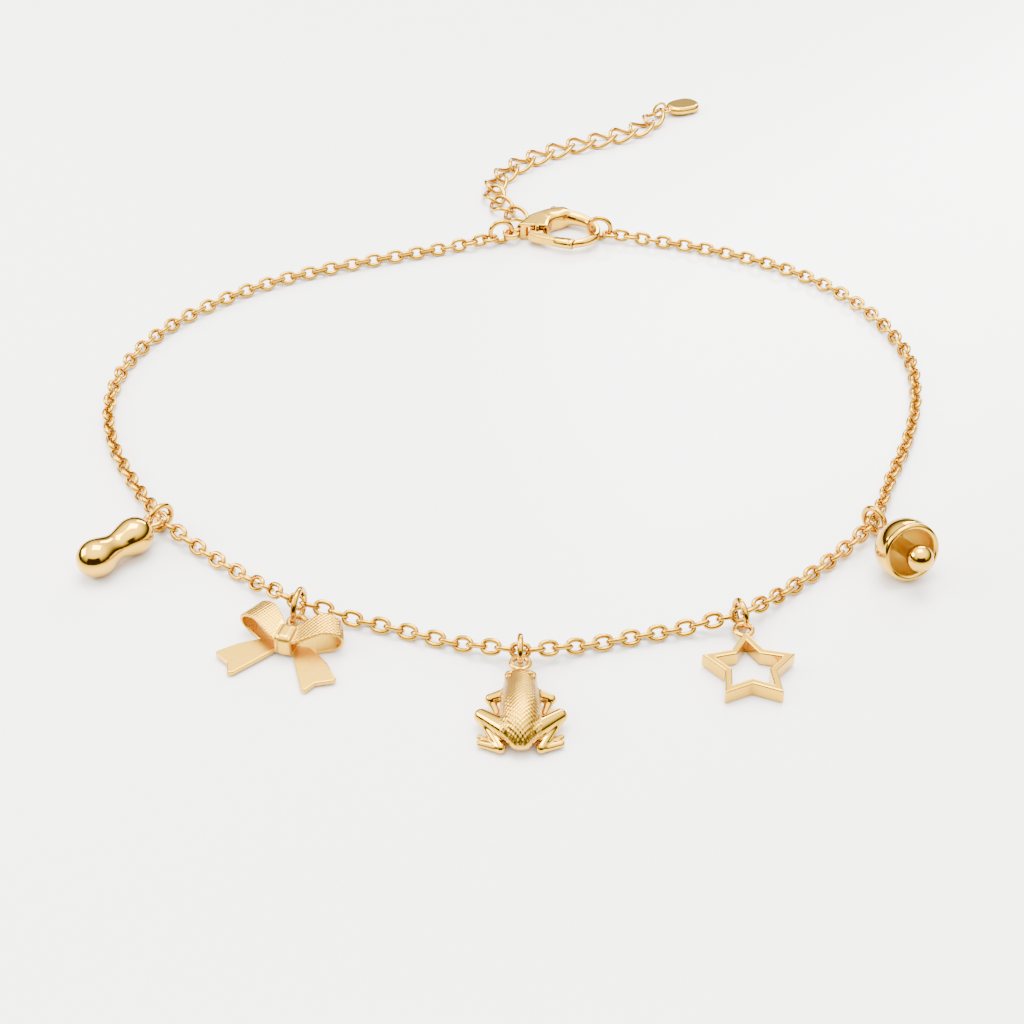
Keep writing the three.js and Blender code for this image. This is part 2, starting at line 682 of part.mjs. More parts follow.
function tail() {
  const path = new THREE.CatmullRomCurve3(
    TAIL_ROUTE.map(({ x, y }) => new THREE.Vector3(x, y, 0)),
    false,
    "centripetal",
  );
  const pitch = path.getLength() / TAIL.links;
  const length = pitch + 2 * TAIL.wire + TAIL.gap;
  const link = linkGeometry(length, TAIL.width, TAIL.twist, TAIL.wire, TAIL.steps, TAIL.sides);
  link.computeBoundingBox();
  for (let i = 0; i < TAIL.links; i += 1) {
    const from = path.getPointAt(i / TAIL.links);
    const to = path.getPointAt((i + 1) / TAIL.links);
    const mesh = piece(`tail_link_${String(i + 1).padStart(2, "0")}`, link, chainGold);
    mesh.position.addVectors(from, to).multiplyScalar(0.5).setZ(CLEAR - link.boundingBox.min.z);
    mesh.rotation.z = Math.atan2(to.y - from.y, to.x - from.x);
    if (i === TAIL.links - 1) {
      mesh.rotateY(-TAIL.lastPitch);
      mesh.position.z += (length / 2) * Math.sin(TAIL.lastPitch);
    }
  }
  const end = path.getPointAt(1);
  const heading = Math.atan2(...path.getTangentAt(1).toArray().slice(0, 2).reverse()) - degrees(38);
  const out = flatDirection(heading);
  const ring = piece("drop_ring", ringGeometry(DROP_RING), chainGold);
  const ringCentre = end.clone().addScaledVector(out, 0.6).setZ(DROP_RING.outer / 2 + CLEAR);
  standRing(ring, ringCentre, heading);
  const eyeMid = (DROP.eyeOuter - DROP.eyeWire) / 2;
  const outline = new THREE.Shape();
  outline.moveTo(0, 0.9);
  outline.bezierCurveTo(2.0, 0.9, DROP.wide / 2, -1.2, DROP.wide / 2, -DROP.long / 2);
  outline.absarc(0, -DROP.long + DROP.wide / 2, DROP.wide / 2, 0, -Math.PI, true);
  outline.bezierCurveTo(-DROP.wide / 2, -1.2, -2.0, 0.9, 0, 0.9);
  const body = plate(outline, DROP.thick, 0.45, 2).translate(0, -1.6, 0.05);
  const eye = ringGeometry({ outer: DROP.eyeOuter, wire: DROP.eyeWire, sides: 6, steps: 10 });
  const drop = piece("drop", geometryOf(joined(body, eye)), polishedGold);
  drop.rotation.set(degrees(4), 0, heading + Math.PI / 2, "ZYX");
  drop.position.copy(ringCentre).addScaledVector(out, 0.55 + eyeMid).setZ(DROP.lift);
}

chain();
hang("peanut", peanut(), polishedGold);
hang("bow", bow(), satinGold);
hang("frog", frog(), satinGold);
hang("star", star(), polishedGold);
hang("mushroom", mushroom(), polishedGold);
clasp();
tail();

// The origin is on the table, below the middle of the whole necklace.
necklace.updateMatrixWorld(true);
const whole = new THREE.Box3().setFromObject(necklace, true);
const middle = whole.getCenter(new THREE.Vector3());
necklace.position.set(-middle.x, -middle.y, -whole.min.z);

export default necklace;
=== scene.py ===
"""The looks of a gold charm necklace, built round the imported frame.

Lengths are millimetres in the plan frame of the necklace, in which the table is z = 0 and the
wearer's front is towards -Y. The frame's own origin is found from the clasp's pin.
"""

import math

import bpy
import numpy as np
from mathutils import Matrix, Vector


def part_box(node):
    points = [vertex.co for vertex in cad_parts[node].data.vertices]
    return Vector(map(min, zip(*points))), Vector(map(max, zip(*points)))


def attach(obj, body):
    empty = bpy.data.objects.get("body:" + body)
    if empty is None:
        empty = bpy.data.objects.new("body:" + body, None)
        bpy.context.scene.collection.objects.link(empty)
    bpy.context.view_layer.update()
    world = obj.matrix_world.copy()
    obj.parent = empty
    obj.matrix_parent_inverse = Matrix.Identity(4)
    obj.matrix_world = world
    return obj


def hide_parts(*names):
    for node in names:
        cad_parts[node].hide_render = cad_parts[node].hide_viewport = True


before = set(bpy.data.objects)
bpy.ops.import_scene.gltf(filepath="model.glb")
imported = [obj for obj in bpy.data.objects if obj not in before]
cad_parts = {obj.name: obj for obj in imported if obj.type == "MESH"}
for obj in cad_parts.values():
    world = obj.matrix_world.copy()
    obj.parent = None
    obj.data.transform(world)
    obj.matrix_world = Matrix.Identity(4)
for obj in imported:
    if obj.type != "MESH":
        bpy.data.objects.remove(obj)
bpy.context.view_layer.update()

MM = 0.001
UP = np.array((0.0, 0.0, 1.0))

# The clasp's pin stands at this place in the plan, which ties the plan to the frame.
PIN_IN_PLAN = np.array((4.5, 50.2, 0.0))
pin_low, pin_high = (np.array(corner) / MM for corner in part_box("clasp_pin"))
SHIFT = ((pin_low + pin_high) / 2 - PIN_IN_PLAN) * (1, 1, 0)

# Dimensions of the chain, its rings and its eyes
CHAIN_WIRE = 0.68
CHAIN_LENGTH = 3.15
CHAIN_WIDTH = 2.45
CHAIN_PITCH = 1.96
RING_WIRE = 0.86
RING_OUTER = 4.8
EYE_WIRE = 0.78
EYE_OUTER = 3.15
CLEAR = 0.05

# The chain's way over the table, from the clasp's eye round the front to the clasp's hook
ROUTE = [
    (-8.0, 47.0, None),
    (-16.0, 44.4, None),
    (-24.2, 41.7, None),
    (-32.7, 38.5, None),
    (-41.6, 34.3, None),
    (-50.0, 28.2, None),
    (-57.5, 20.1, None),
    (-62.5, 10.1, None),
    (-63.9, -1.0, None),
    (-61.8, -12.0, None),
    (-57.2, -22.0, None),
    (-51.1, -32.1, "peanut"),
    (-43.8, -39.2, None),
    (-37.2, -44.8, None),
    (-29.7, -51.45, "bow"),
    (-19.3, -54.2, None),
    (-9.4, -57.6, None),
    (1.1, -60.76, "frog"),
    (10.6, -58.5, None),
    (20.5, -56.0, None),
    (31.2, -53.46, "star"),
    (38.9, -47.0, None),
    (45.8, -40.4, None),
    (52.65, -32.85, "mushroom"),
    (57.0, -21.8, None),
    (61.2, -11.7, None),
    (64.2, -1.0, None),
    (65.0, 10.4, None),
    (62.1, 21.4, None),
    (56.2, 31.1, None),
    (47.8, 38.7, None),
    (38.2, 43.9, None),
    (28.0, 47.6, None),
]

# The way of the tail, from the clasp's back edge to its drop
TAIL_ROUTE = [
    (2.4, 54.9),
    (0.1, 57.9),
    (-2.7, 61.7),
    (-3.7, 66.1),
    (-2.9, 70.0),
    (-1.0, 73.7),
    (2.2, 77.4),
    (6.2, 80.6),
    (10.5, 83.4),
    (15.2, 85.6),
    (19.6, 87.7),
    (23.8, 90.0),
    (27.3, 93.4),
    (28.9, 97.6),
]

# How each charm lies: the middle of its eye, its turn about the vertical and its tilt in degrees.
# Its ring is outer wide, has its middle at ring and stands in the vertical plane along heading. The
# chain runs through it at the height lift.
CHARM_COLUMNS = ("eye", "yaw", "pitch", "ring", "heading", "outer", "lift")
CHARM_ROWS = {
    "peanut": ((-52.1, -33.95), -43.3, 1.0, (-51.2, -32.7), 229.0, 4.8, 1.7),
    "bow": ((-29.35, -54.9), -17.9, 1.0, (-29.3, -52.6), 257.0, 5.6, 2.7),
    "frog": ((1.12, -63.0), 0.0, 0.0, (1.12, -61.1), 270.0, 4.8, 2.15),
    "star": ((31.65, -55.75), 0.8, 0.5, (31.35, -53.85), 288.0, 4.8, 2.15),
    "mushroom": ((54.0, -34.9), 19.1, -17.4, (52.71, -33.37), 310.0, 4.8, 1.9),
}
CHARMS = {charm: dict(zip(CHARM_COLUMNS, row)) for charm, row in CHARM_ROWS.items()}

CLASP_EYE = np.array((-0.1, 49.6, 1.7))

# The rings at the chain's two ends stand upright. Each row has the ring's middle, heading and reach,
# which is how far the chain's last link goes beyond that middle.
END_RINGS = {
    "left": {"middle": (-1.94, 49.14), "heading": 14.0, "reach": -0.8},
    "right": {"middle": (15.72, 50.45), "heading": -8.0, "reach": 0.8},
}


def direction(angle):
    return np.array((math.cos(angle), math.sin(angle), 0.0))


def chain_tip(side):
    """Where the chain's last link ends inside an end ring."""
    ring = END_RINGS[side]
    return np.array((*ring["middle"], 0.0)) + ring["reach"] * direction(math.radians(ring["heading"]))


# Curves through points

def smooth_path(points, samples):
    """Dense points along a smooth curve through the given ones."""
    points = np.array(points, float)
    ends = (2 * points[:1] - points[1:2], 2 * points[-1:] - points[-2:-1])
    p = np.vstack((ends[0], points, ends[1]))
    t = np.linspace(0, len(points) - 1, samples)
    i = np.minimum(t.astype(int), len(points) - 2)
    u = (t - i)[:, None]
    a, b, c, d = p[i], p[i + 1], p[i + 2], p[i + 3]
    leave, arrive = (c - a) / 2, (d - b) / 2
    return (
        (2 * u**3 - 3 * u**2 + 1) * b
        + (u**3 - 2 * u**2 + u) * leave
        + (3 * u**2 - 2 * u**3) * c
        + (u**3 - u**2) * arrive
    )


class Path:
    """A dense curve that is read by length."""

    def __init__(self, points):
        self.points = points
        steps = np.linalg.norm(np.diff(points, axis=0), axis=1)
        self.lengths = np.concatenate(([0.0], np.cumsum(steps)))
        self.length = self.lengths[-1]

    def at(self, s):
        columns = [np.interp(s, self.lengths, column) for column in self.points.T]
        return np.stack(columns, axis=-1)

    def heading(self, s, step=0.05):
        ahead = self.at(np.asarray(s) + step) - self.at(np.asarray(s) - step)
        return ahead / np.linalg.norm(ahead, axis=-1, keepdims=True)


PLAN_SAMPLES_PER_SPAN = 60
plan_points = [chain_tip("left")[:2]] + [(x, y) for x, y, _ in ROUTE] + [chain_tip("right")[:2]]
plan_count = (len(plan_points) - 1) * PLAN_SAMPLES_PER_SPAN + 1
flat_path = smooth_path(plan_points, plan_count)
plan = Path(np.column_stack((flat_path, np.zeros(plan_count))))


def station(charm):
    """The length along the chain at which a charm hangs."""
    row = [name for _, _, name in ROUTE].index(charm) + 1
    return plan.lengths[row * PLAN_SAMPLES_PER_SPAN]


# Heights of the chain's middle over the table. Beside a ring it stays up for LIFT_LEVEL and comes
# down over LIFT_FALL.
LIE = 1.1
LIFT_LEVEL = 2.6
LIFT_FALL = 7.5
END_LIFT = 1.45


def chain_height(s):
    """The chain's height: it lies on the table and rises at its rings and its two ends."""
    lifts = [(station(charm), lie["lift"]) for charm, lie in CHARMS.items()]
    lifts += [(0, END_LIFT), (plan.length, END_LIFT)]
    rise = np.zeros_like(s)
    for place, height in lifts:
        away = np.clip((np.abs(s - place) - LIFT_LEVEL) / LIFT_FALL, 0, 1)
        rise = np.maximum(rise, (height - LIE) * (1 - away**2 * (3 - 2 * away)))
    return LIE + rise


# Meshes from points

def add_object(name, points, faces, materials, body, slot, nodes, face_materials=None, normals=None):
    """A piece from points in the plan frame. It rides a body and stands for the nodes it is given."""
    mesh = bpy.data.meshes.new(name)
    mesh.from_pydata(((points + SHIFT) * MM).tolist(), [], faces.tolist())
    mesh.shade_smooth()
    for material in materials:
        mesh.materials.append(material)
    if face_materials is not None:
        mesh.polygons.foreach_set("material_index", face_materials.astype(np.int32))
    if normals is not None:
        mesh.normals_split_custom_set_from_vertices(normals.tolist())
    mesh.update()
    obj = bpy.data.objects.new(name, mesh)
    bpy.context.scene.collection.objects.link(obj)
    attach(obj, body)
    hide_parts(*nodes)


def tube_faces(steps, sides):
    """Quads of a closed tube, whose points are stored ring after ring."""
    i, k = np.meshgrid(np.arange(steps), np.arange(sides), indexing="ij")
    at = lambda row, side: (row % steps) * sides + side % sides
    return np.stack((at(i, k), at(i, k + 1), at(i + 1, k + 1), at(i + 1, k)), -1).reshape(-1, 4)


def closed_tube(middle, radius, sides):
    """Points and faces of a round wire along a closed loop of points."""
    ahead = np.roll(middle, -1, 0) - np.roll(middle, 1, 0)
    ahead /= np.linalg.norm(ahead, axis=1, keepdims=True)
    spoke = middle - middle.mean(0)
    out = spoke - (spoke * ahead).sum(1, keepdims=True) * ahead
    out /= np.linalg.norm(out, axis=1, keepdims=True)
    side = np.cross(ahead, out)
    turn = np.linspace(0, 2 * np.pi, sides, endpoint=False)
    ring = out[:, None] * np.cos(turn)[:, None] + side[:, None] * np.sin(turn)[:, None]
    points = middle[:, None] + radius * ring
    return points.reshape(-1, 3), tube_faces(len(middle), sides)


def joined(parts):
    """Several (points, faces) pairs as one."""
    offsets = np.cumsum([0] + [len(points) for points, _ in parts[:-1]])
    faces = [part[1] + offset for part, offset in zip(parts, offsets)]
    return np.vstack([points for points, _ in parts]), np.vstack(faces)


def circle(radius, steps):
    turn = np.linspace(0, 2 * np.pi, steps, endpoint=False)
    return np.column_stack((radius * np.cos(turn), radius * np.sin(turn), np.zeros(steps)))


# Distance fields: each takes points and gives the distance to a shape, negative inside

TINY = 1e-6


def length(v):
    return np.sqrt((v * v).sum(-1))


def blend_union(a, b, k):
    """The union of two shapes with a fillet of about k between them."""
    h = np.clip(k - np.abs(a - b), 0, None) / k
    return np.minimum(a, b) - h * h * k / 4


def blend_cut(a, b, k):
    """Shape a without shape b, with a rounded edge."""
    return -blend_union(-a, b, k)


def blend_common(a, b, k):
    return -blend_union(-a, -b, k)


def ball(p, centre, radius):
    return length(p - centre) - radius


def egg(p, centre, radii):
    """An ellipsoid with half-lengths radii."""
    q = p - centre
    radii = np.array(radii)
    near = length(q / radii)
    slope = length(q / radii**2)
    return near * (near - 1) / np.maximum(slope, TINY)


def rod(p, a, b, start, end):
    """A tapered rod with round ends."""
    a, b = np.array(a, float), np.array(b, float)
    along = b - a
    t = np.clip(((p - a) @ along) / (along @ along), 0, 1)
    return length(p - a - t[:, None] * along) - (start + (end - start) * t)


def ring_field(p, outer, wire, centre=(0, 0, 0)):
    """A wire ring that lies flat."""
    q = p - np.array(centre)
    return np.hypot(np.hypot(q[:, 0], q[:, 1]) - (outer - wire) / 2, q[:, 2]) - wire / 2


def eye_field(p):
    return ring_field(p, EYE_OUTER, EYE_WIRE)


def nearest_on(xy, a, b):
    """The share of the way from a to b at which the line is nearest, and that distance squared."""
    edge = b - a
    w = xy - a
    t = np.clip((w @ edge) / (edge @ edge), 0, 1)
    return t, ((w - t[:, None] * edge) ** 2).sum(1)


def outline_field(xy, corners):
    """Distance to a closed flat outline, negative inside."""
    corners = np.array(corners, float)
    best = np.full(len(xy), np.inf)
    inside = np.zeros(len(xy), bool)
    for a, b in zip(corners, np.roll(corners, -1, 0)):
        best = np.minimum(best, nearest_on(xy, a, b)[1])
        spans = (a[1] > xy[:, 1]) != (b[1] > xy[:, 1])
        run, rise = b - a
        cross = a[0] + (xy[:, 1] - a[1]) * run / (rise if rise else 1.0)
        inside ^= spans & (xy[:, 0] < cross)
    return np.where(inside, -1, 1) * np.sqrt(best)


def slab(flat, height, half, edge):
    """A flat field made into a plate of half thickness half, with edges rounded by edge."""
    a, b = flat + edge, np.abs(height) - half + edge
    return np.minimum(np.maximum(a, b), 0) + np.hypot(np.maximum(a, 0), np.maximum(b, 0)) - edge


def turned(p, degrees):
    """Points in a frame that is turned about the vertical."""
    a = math.radians(degrees)
    x, y = p[:, 0], p[:, 1]
    along = x * math.cos(a) + y * math.sin(a)
    across = y * math.cos(a) - x * math.sin(a)
    return np.column_stack((along, across, p[:, 2]))


# A field is sampled in blocks of cells, and only in those near the surface. The corners of a cell
# are numbered so that two of them share an edge if their numbers differ in one bit.
BLOCK = 6
BLOCK_REACH = 1.15
SAMPLES_AT_ONCE = 400000
CELL = [(k & 1, k >> 1 & 1, k >> 2) for k in range(8)]
CELL_EDGES = [(a, b) for a in range(8) for b in range(a + 1, 8) if bin(a ^ b).count("1") == 1]
SLOPE_STEP = 0.004
LEAST_SLOPE = 0.05
PULLS = 3


def grid_places(*counts):
    """The whole-number places of a grid, one row for each."""
    axes = np.meshgrid(*[np.arange(n) for n in counts], indexing="ij")
    return np.stack(axes, -1).reshape(-1, 3)


def sampled(field, low, step, blocks):
    """The field on a grid of blocks. Blocks far from the surface keep their middle's value."""
    counts = blocks * BLOCK
    middle = grid_places(*blocks)
    middles = low + (middle + 0.5) * BLOCK * step - step / 2
    values = field(middles)
    grid = np.repeat(values[:, None], BLOCK**3, 1)
    near = np.abs(values) < BLOCK * step * BLOCK_REACH
    inner = grid_places(BLOCK, BLOCK, BLOCK)
    places = low + (middle[near][:, None] * BLOCK + inner[None]) * step
    flat = places.reshape(-1, 3)
    shares = np.array_split(flat, max(1, len(flat) // SAMPLES_AT_ONCE))
    found = np.concatenate([field(share) for share in shares])
    grid[near] = found.reshape(-1, BLOCK**3)
    cube = grid.reshape(*blocks, BLOCK, BLOCK, BLOCK).transpose(0, 3, 1, 4, 2, 5)
    return cube.reshape(*counts)


def slope_of(field, p):
    """The field's gradient, from four nearby samples."""
    corners = np.array(((1, -1, -1), (-1, -1, 1), (-1, 1, -1), (1, 1, 1)))
    total = sum(corner * field(p + SLOPE_STEP * corner)[:, None] for corner in corners)
    return total / (4 * SLOPE_STEP)


def skin(field, low, high, step):
    """Points, quads and normals of the surface of a field: one point in each cell that it crosses."""
    low, high = np.array(low, float), np.array(high, float)
    blocks = np.ceil((high - low) / (step * BLOCK)).astype(int) + 1
    values = sampled(field, low, step, blocks)
    inside = values < 0
    shape = np.array(values.shape) - 1
    corner = [tuple(slice(o, o + n) for o, n in zip(offset, shape)) for offset in CELL]
    some = np.zeros(shape, bool)
    every = np.ones(shape, bool)
    for c in corner:
        some |= inside[c]
        every &= inside[c]
    cells = np.argwhere(some & ~every)
    at = [values[tuple((cells + offset).T)] for offset in np.array(CELL)]
    total = np.zeros((len(cells), 3))
    hits = np.zeros(len(cells))
    for a, b in CELL_EDGES:
        crosses = (at[a] < 0) != (at[b] < 0)
        share = np.where(crosses, at[a] / np.where(crosses, at[a] - at[b], 1), 0)
        start, end = np.array(CELL[a]), np.array(CELL[b])
        total += crosses[:, None] * (start + share[:, None] * (end - start))
        hits += crosses
    points = low + (cells + total / hits[:, None]) * step
    number = np.full(shape, -1)
    number[tuple(cells.T)] = np.arange(len(cells))
    quads = []
    units = np.eye(3, dtype=int)
    here = np.zeros(3, int)
    for axis in range(3):
        ahead, u, v = (units[(axis + k) % 3] for k in range(3))
        first = tuple(slice(1, n) if k != axis else slice(0, n) for k, n in enumerate(shape))
        second = tuple(slice(1, n) if k != axis else slice(1, n + 1) for k, n in enumerate(shape))
        change = inside[first].astype(int) - inside[second].astype(int)
        edges = np.argwhere(change) + (1 - ahead)
        sign = change[tuple((edges - (1 - ahead)).T)]
        ids = [number[tuple((edges - back).T)] for back in (u + v, v, here, u)]
        quad = np.stack(ids, -1)
        quad[sign < 0] = quad[sign < 0][:, ::-1]
        quads.append(quad)
    faces = np.vstack(quads)
    for _ in range(PULLS):
        slope = slope_of(field, points)
        steepness = np.maximum((slope * slope).sum(1, keepdims=True), LEAST_SLOPE)
        move = field(points)[:, None] * slope / steepness
        points = points - np.clip(move, -step, step)
    normals = slope_of(field, points)
    normals /= np.maximum(length(normals), TINY)[:, None]
    return points, faces, normals


# Materials

class Value:
    """A shader socket that takes part in plain arithmetic."""

    def __init__(self, shader, socket):
        self.shader = shader
        self.socket = socket

    def _math(self, operation, *values):
        return self.shader.node("ShaderNodeMath", {"operation": operation}, dict(enumerate(values)))

    def __add__(self, other):
        return self._math("ADD", self, other)

    def __radd__(self, other):
        return self._math("ADD", other, self)

    def __sub__(self, other):
        return self._math("SUBTRACT", self, other)

    def __rsub__(self, other):
        return self._math("SUBTRACT", other, self)

    def __mul__(self, other):
        return self._math("MULTIPLY", self, other)

    def __rmul__(self, other):
        return self._math("MULTIPLY", other, self)

    def __truediv__(self, other):
        return self._math("DIVIDE", self, other)

    def __rtruediv__(self, other):
        return self._math("DIVIDE", other, self)

    def clamped(self):
        return self._math("MINIMUM", self._math("MAXIMUM", self, 0.0), 1.0)

    def sine(self):
        return self._math("SINE", self)

    def smooth(self, low, high):
        """0 below low, 1 above high, with a smooth change between."""
        t = ((self - low) / (high - low)).clamped()
        return t * t * (3.0 - 2.0 * t)


# Where a Mix node keeps its colour sockets
MIX_SHARE, MIX_FIRST, MIX_SECOND, MIX_RESULT = 0, 6, 7, 2


class Shader:
    """The node tree of one material, or of the surroundings if it is given a world."""

    def __init__(self, name, world=None):
        self.material = world or bpy.data.materials.new(name)
        self.material.use_nodes = True
        self.tree = self.material.node_tree
        self.surface = self.tree.nodes["Background" if world else "Principled BSDF"]

    def node(self, kind, settings, inputs, output=0):
        """A new node. Its settings are set first, then its sockets by name or number."""
        made = self.tree.nodes.new(kind)
        for setting, value in settings.items():
            setattr(made, setting, value)
        for socket, value in inputs.items():
            self.put(made.inputs[socket], value)
        return Value(self, made.outputs[output])

    def put(self, socket, value):
        if isinstance(value, Value):
            self.tree.links.new(value.socket, socket)
        else:
            socket.default_value = value

    def set(self, **named):
        for name, value in named.items():
            self.put(self.surface.inputs[name.replace("_", " ")], value)

    def place(self):
        """The point on the object, in metres."""
        return self.node("ShaderNodeTexCoord", {}, {}, "Object")

    def parts(self, vector, count):
        """The first few of a vector's three numbers."""
        return [self.node("ShaderNodeSeparateXYZ", {}, {0: vector}, axis) for axis in range(count)]

    def noise(self, scale, detail=2.0):
        inputs = {"Vector": self.place(), "Scale": scale, "Detail": detail}
        return self.node("ShaderNodeTexNoise", {}, inputs)

    def mix(self, share, first, second):
        inputs = {MIX_SHARE: share, MIX_FIRST: first, MIX_SECOND: second}
        return self.node("ShaderNodeMix", {"data_type": "RGBA"}, inputs, MIX_RESULT)

    def bump(self, height, strength, distance):
        inputs = {"Strength": strength, "Distance": distance, "Height": height}
        return self.node("ShaderNodeBump", {}, inputs)


def colour(red, green, blue):
    return (red, green, blue, 1.0)


PALE_GOLD = colour(0.72, 0.42, 0.04)
WARM_GOLD = colour(0.63, 0.37, 0.016)
DEEP_GOLD = colour(0.44, 0.23, 0.005)
CHAIN_TINT = colour(0.58, 0.32, 0.012)
INSIDE_TINT = colour(0.84, 0.62, 0.10)
INSIDE_DEEP = colour(0.76, 0.53, 0.06)

# Noise scales are per metre, and depths are metres
DRIFT_SCALE = 260.0
DRIFT_GAIN = 1.6
DRIFT_LOSS = 0.3
FINE_SCALE = 2600.0
RIPPLE_SCALE = 700.0
RIPPLE_DEPTH = 0.00004
GRID_PITCH = 0.00062
GRID_DEPTH = 0.00007
GRID_STRENGTH = 0.9
GRID_DRIFT_SCALE = 400.0
GRID_ROUGH = 0.24
GRID_UNEVENNESS = 0.2


def gold(name, base, deep, rough, unevenness, ripple=0.0):
    """Polished or satin gold: its tint and sheen drift a little over the metal."""
    s = Shader(name)
    drift = s.noise(DRIFT_SCALE, 3.0)
    fine = s.noise(FINE_SCALE)
    s.set(
        Base_Color=s.mix((drift * DRIFT_GAIN - DRIFT_LOSS).clamped(), base, deep),
        Metallic=1.0,
        Roughness=rough + (fine - 0.5) * unevenness + (drift - 0.5) * unevenness,
    )
    if ripple:
        s.set(Normal=s.bump(s.noise(RIPPLE_SCALE), ripple, RIPPLE_DEPTH))
    return s.material


def woven_gold(name):
    """Gold with a fine raised grid, as on cast leather or cloth patterns, coloured with painted shade
    in the grid's hollows and painted highlight on its raised cells.
    """
    s = Shader(name)
    across, along = s.parts(s.place(), 2)
    turns = 2 * math.pi / GRID_PITCH
    cells = (across * turns).sine() * (along * turns).sine() * 0.5 + 0.5
    drift = s.noise(GRID_DRIFT_SCALE, 3.0)
    s.set(
        # The grid's height also sets the colour: deep gold is painted shade in the hollows, pale gold
        # is painted highlight on the raised cells
        Base_Color=s.mix(cells, DEEP_GOLD, PALE_GOLD),
        Metallic=1.0,
        Roughness=GRID_ROUGH + (drift - 0.5) * GRID_UNEVENNESS,
        Normal=s.bump(cells, GRID_STRENGTH, GRID_DEPTH),
    )
    return s.material


POLISHED = gold("polished gold", PALE_GOLD, WARM_GOLD, rough=0.09, unevenness=0.05, ripple=0.04)
CHAIN_GOLD = gold("chain gold", CHAIN_TINT, DEEP_GOLD, rough=0.13, unevenness=0.06)
SATIN = gold("satin gold", PALE_GOLD, WARM_GOLD, rough=0.3, unevenness=0.14, ripple=0.2)
WOVEN = woven_gold("woven gold")
INSIDE = gold("inside gold", INSIDE_TINT, INSIDE_DEEP, rough=0.36, unevenness=0.1)


# Chain, rings and tail

# Every second link is turned by a right angle. Those at the two ends stand upright, and over
# SETTLING links the turn drifts to LINK_ROLL degrees.
LINK_STEPS = 24
LINK_SIDES = 10
LINK_SQUARENESS = 0.06
LINK_ROLL = 45.0
SETTLING = 6
RISE_STEP = 0.1
RING_STEPS = 96
RING_SIDES = 20


def oval_loop(half_length, half_width, twist, steps):
    """The middle line of a link along X, whose ends are turned by -twist and +twist about X."""
    turn = np.linspace(0, 2 * np.pi, steps, endpoint=False)
    across = half_width * np.sin(turn)
    roll = twist * np.cos(turn)
    return np.column_stack((half_length * np.cos(turn), across * np.cos(roll), across * np.sin(roll)))


def frame_along(heading):
    """Rows are the forward, sideways and upward directions for a heading."""
    side = np.cross(UP, heading)
    side /= np.linalg.norm(side)
    return np.array((heading, side, np.cross(heading, side)))


def link_places():
    """Where the links' middles are along the chain, with an even link at every charm's station."""
    half = CHAIN_LENGTH / 2 - CHAIN_WIRE / 2
    fixed = [half] + [station(charm) for charm in CHARMS] + [plan.length - half]
    places = [np.array(fixed[:1])]
    for start, end in zip(fixed[:-1], fixed[1:]):
        steps = 2 * round((end - start) / CHAIN_PITCH / 2)
        places.append(np.linspace(start, end, steps + 1)[1:])
    return np.concatenate(places)


def chain_links():
    half_length = (CHAIN_LENGTH - CHAIN_WIRE) / 2
    half_width = (CHAIN_WIDTH - CHAIN_WIRE) / 2
    turn = np.linspace(0, 2 * np.pi, LINK_STEPS, endpoint=False)
    loop = np.column_stack((half_length * np.cos(turn), half_width * np.sin(turn)))
    loop *= 1 + LINK_SQUARENESS * np.sin(2 * turn)[:, None] ** 2
    places = link_places()
    count = len(places)
    heights = chain_height(places)
    rise = chain_height(places + RISE_STEP) - chain_height(places - RISE_STEP)
    slope = rise / (2 * RISE_STEP)
    parts = []
    for i, s in enumerate(places):
        heading = plan.heading(s) + slope[i] * UP
        axes = frame_along(heading / np.linalg.norm(heading))
        from_end = min(i, count - 1 - i)
        even_roll = LINK_ROLL * min(1.0, from_end / SETTLING)
        roll = math.radians(even_roll if i % 2 == 0 else even_roll - 90.0)
        across = loop[:, 1]
        flat = np.column_stack((loop[:, 0], across * math.cos(roll), across * math.sin(roll)))
        middle = plan.at(s) * (1, 1, 0) + heights[i] * UP
        parts.append(closed_tube(flat @ axes + middle, CHAIN_WIRE / 2, LINK_SIDES))
    points, faces = joined(parts)
    add_object("chain_links", points, faces, [CHAIN_GOLD], "necklace", "chain_gold", ["cable_chain"])


def standing_ring(name, middle, heading, outer, wire):
    """An upright ring on the table, in the vertical plane along a heading in degrees."""
    along = direction(math.radians(heading))
    centre = np.array((*middle, outer / 2 + CLEAR))
    loop = circle((outer - wire) / 2, RING_STEPS)
    loop = loop[:, :1] * along + loop[:, 1:2] * UP + centre
    points, faces = closed_tube(loop, wire / 2, RING_SIDES)
    add_object(name + "_wire", points, faces, [CHAIN_GOLD], "necklace", "chain_gold", [name])


def rings():
    for charm, lie in CHARMS.items():
        standing_ring(charm + "_ring", lie["ring"], lie["heading"], lie["outer"], RING_WIRE)
    for side, ring in END_RINGS.items():
        standing_ring(side + "_end_ring", ring["middle"], ring["heading"], RING_OUTER, RING_WIRE)


TAIL_WIRE = 0.78
TAIL_WIDTH = 4.6
TAIL_TWIST = -math.pi / 4
TAIL_LINKS = 13
TAIL_GAP = 0.36
TAIL_STEPS = 64
TAIL_SIDES = 14
TAIL_SAMPLES_PER_SPAN = 80
END_STEP = 0.1

# The last link's end is raised by this angle in radians, and the drop's ring goes through it
LAST_PITCH = 0.06
DROP_RING_OUTER = 3.4
DROP_RING_WIRE = 0.5
DROP_RING_OUT = 0.6
DROP_TURN = math.radians(38)


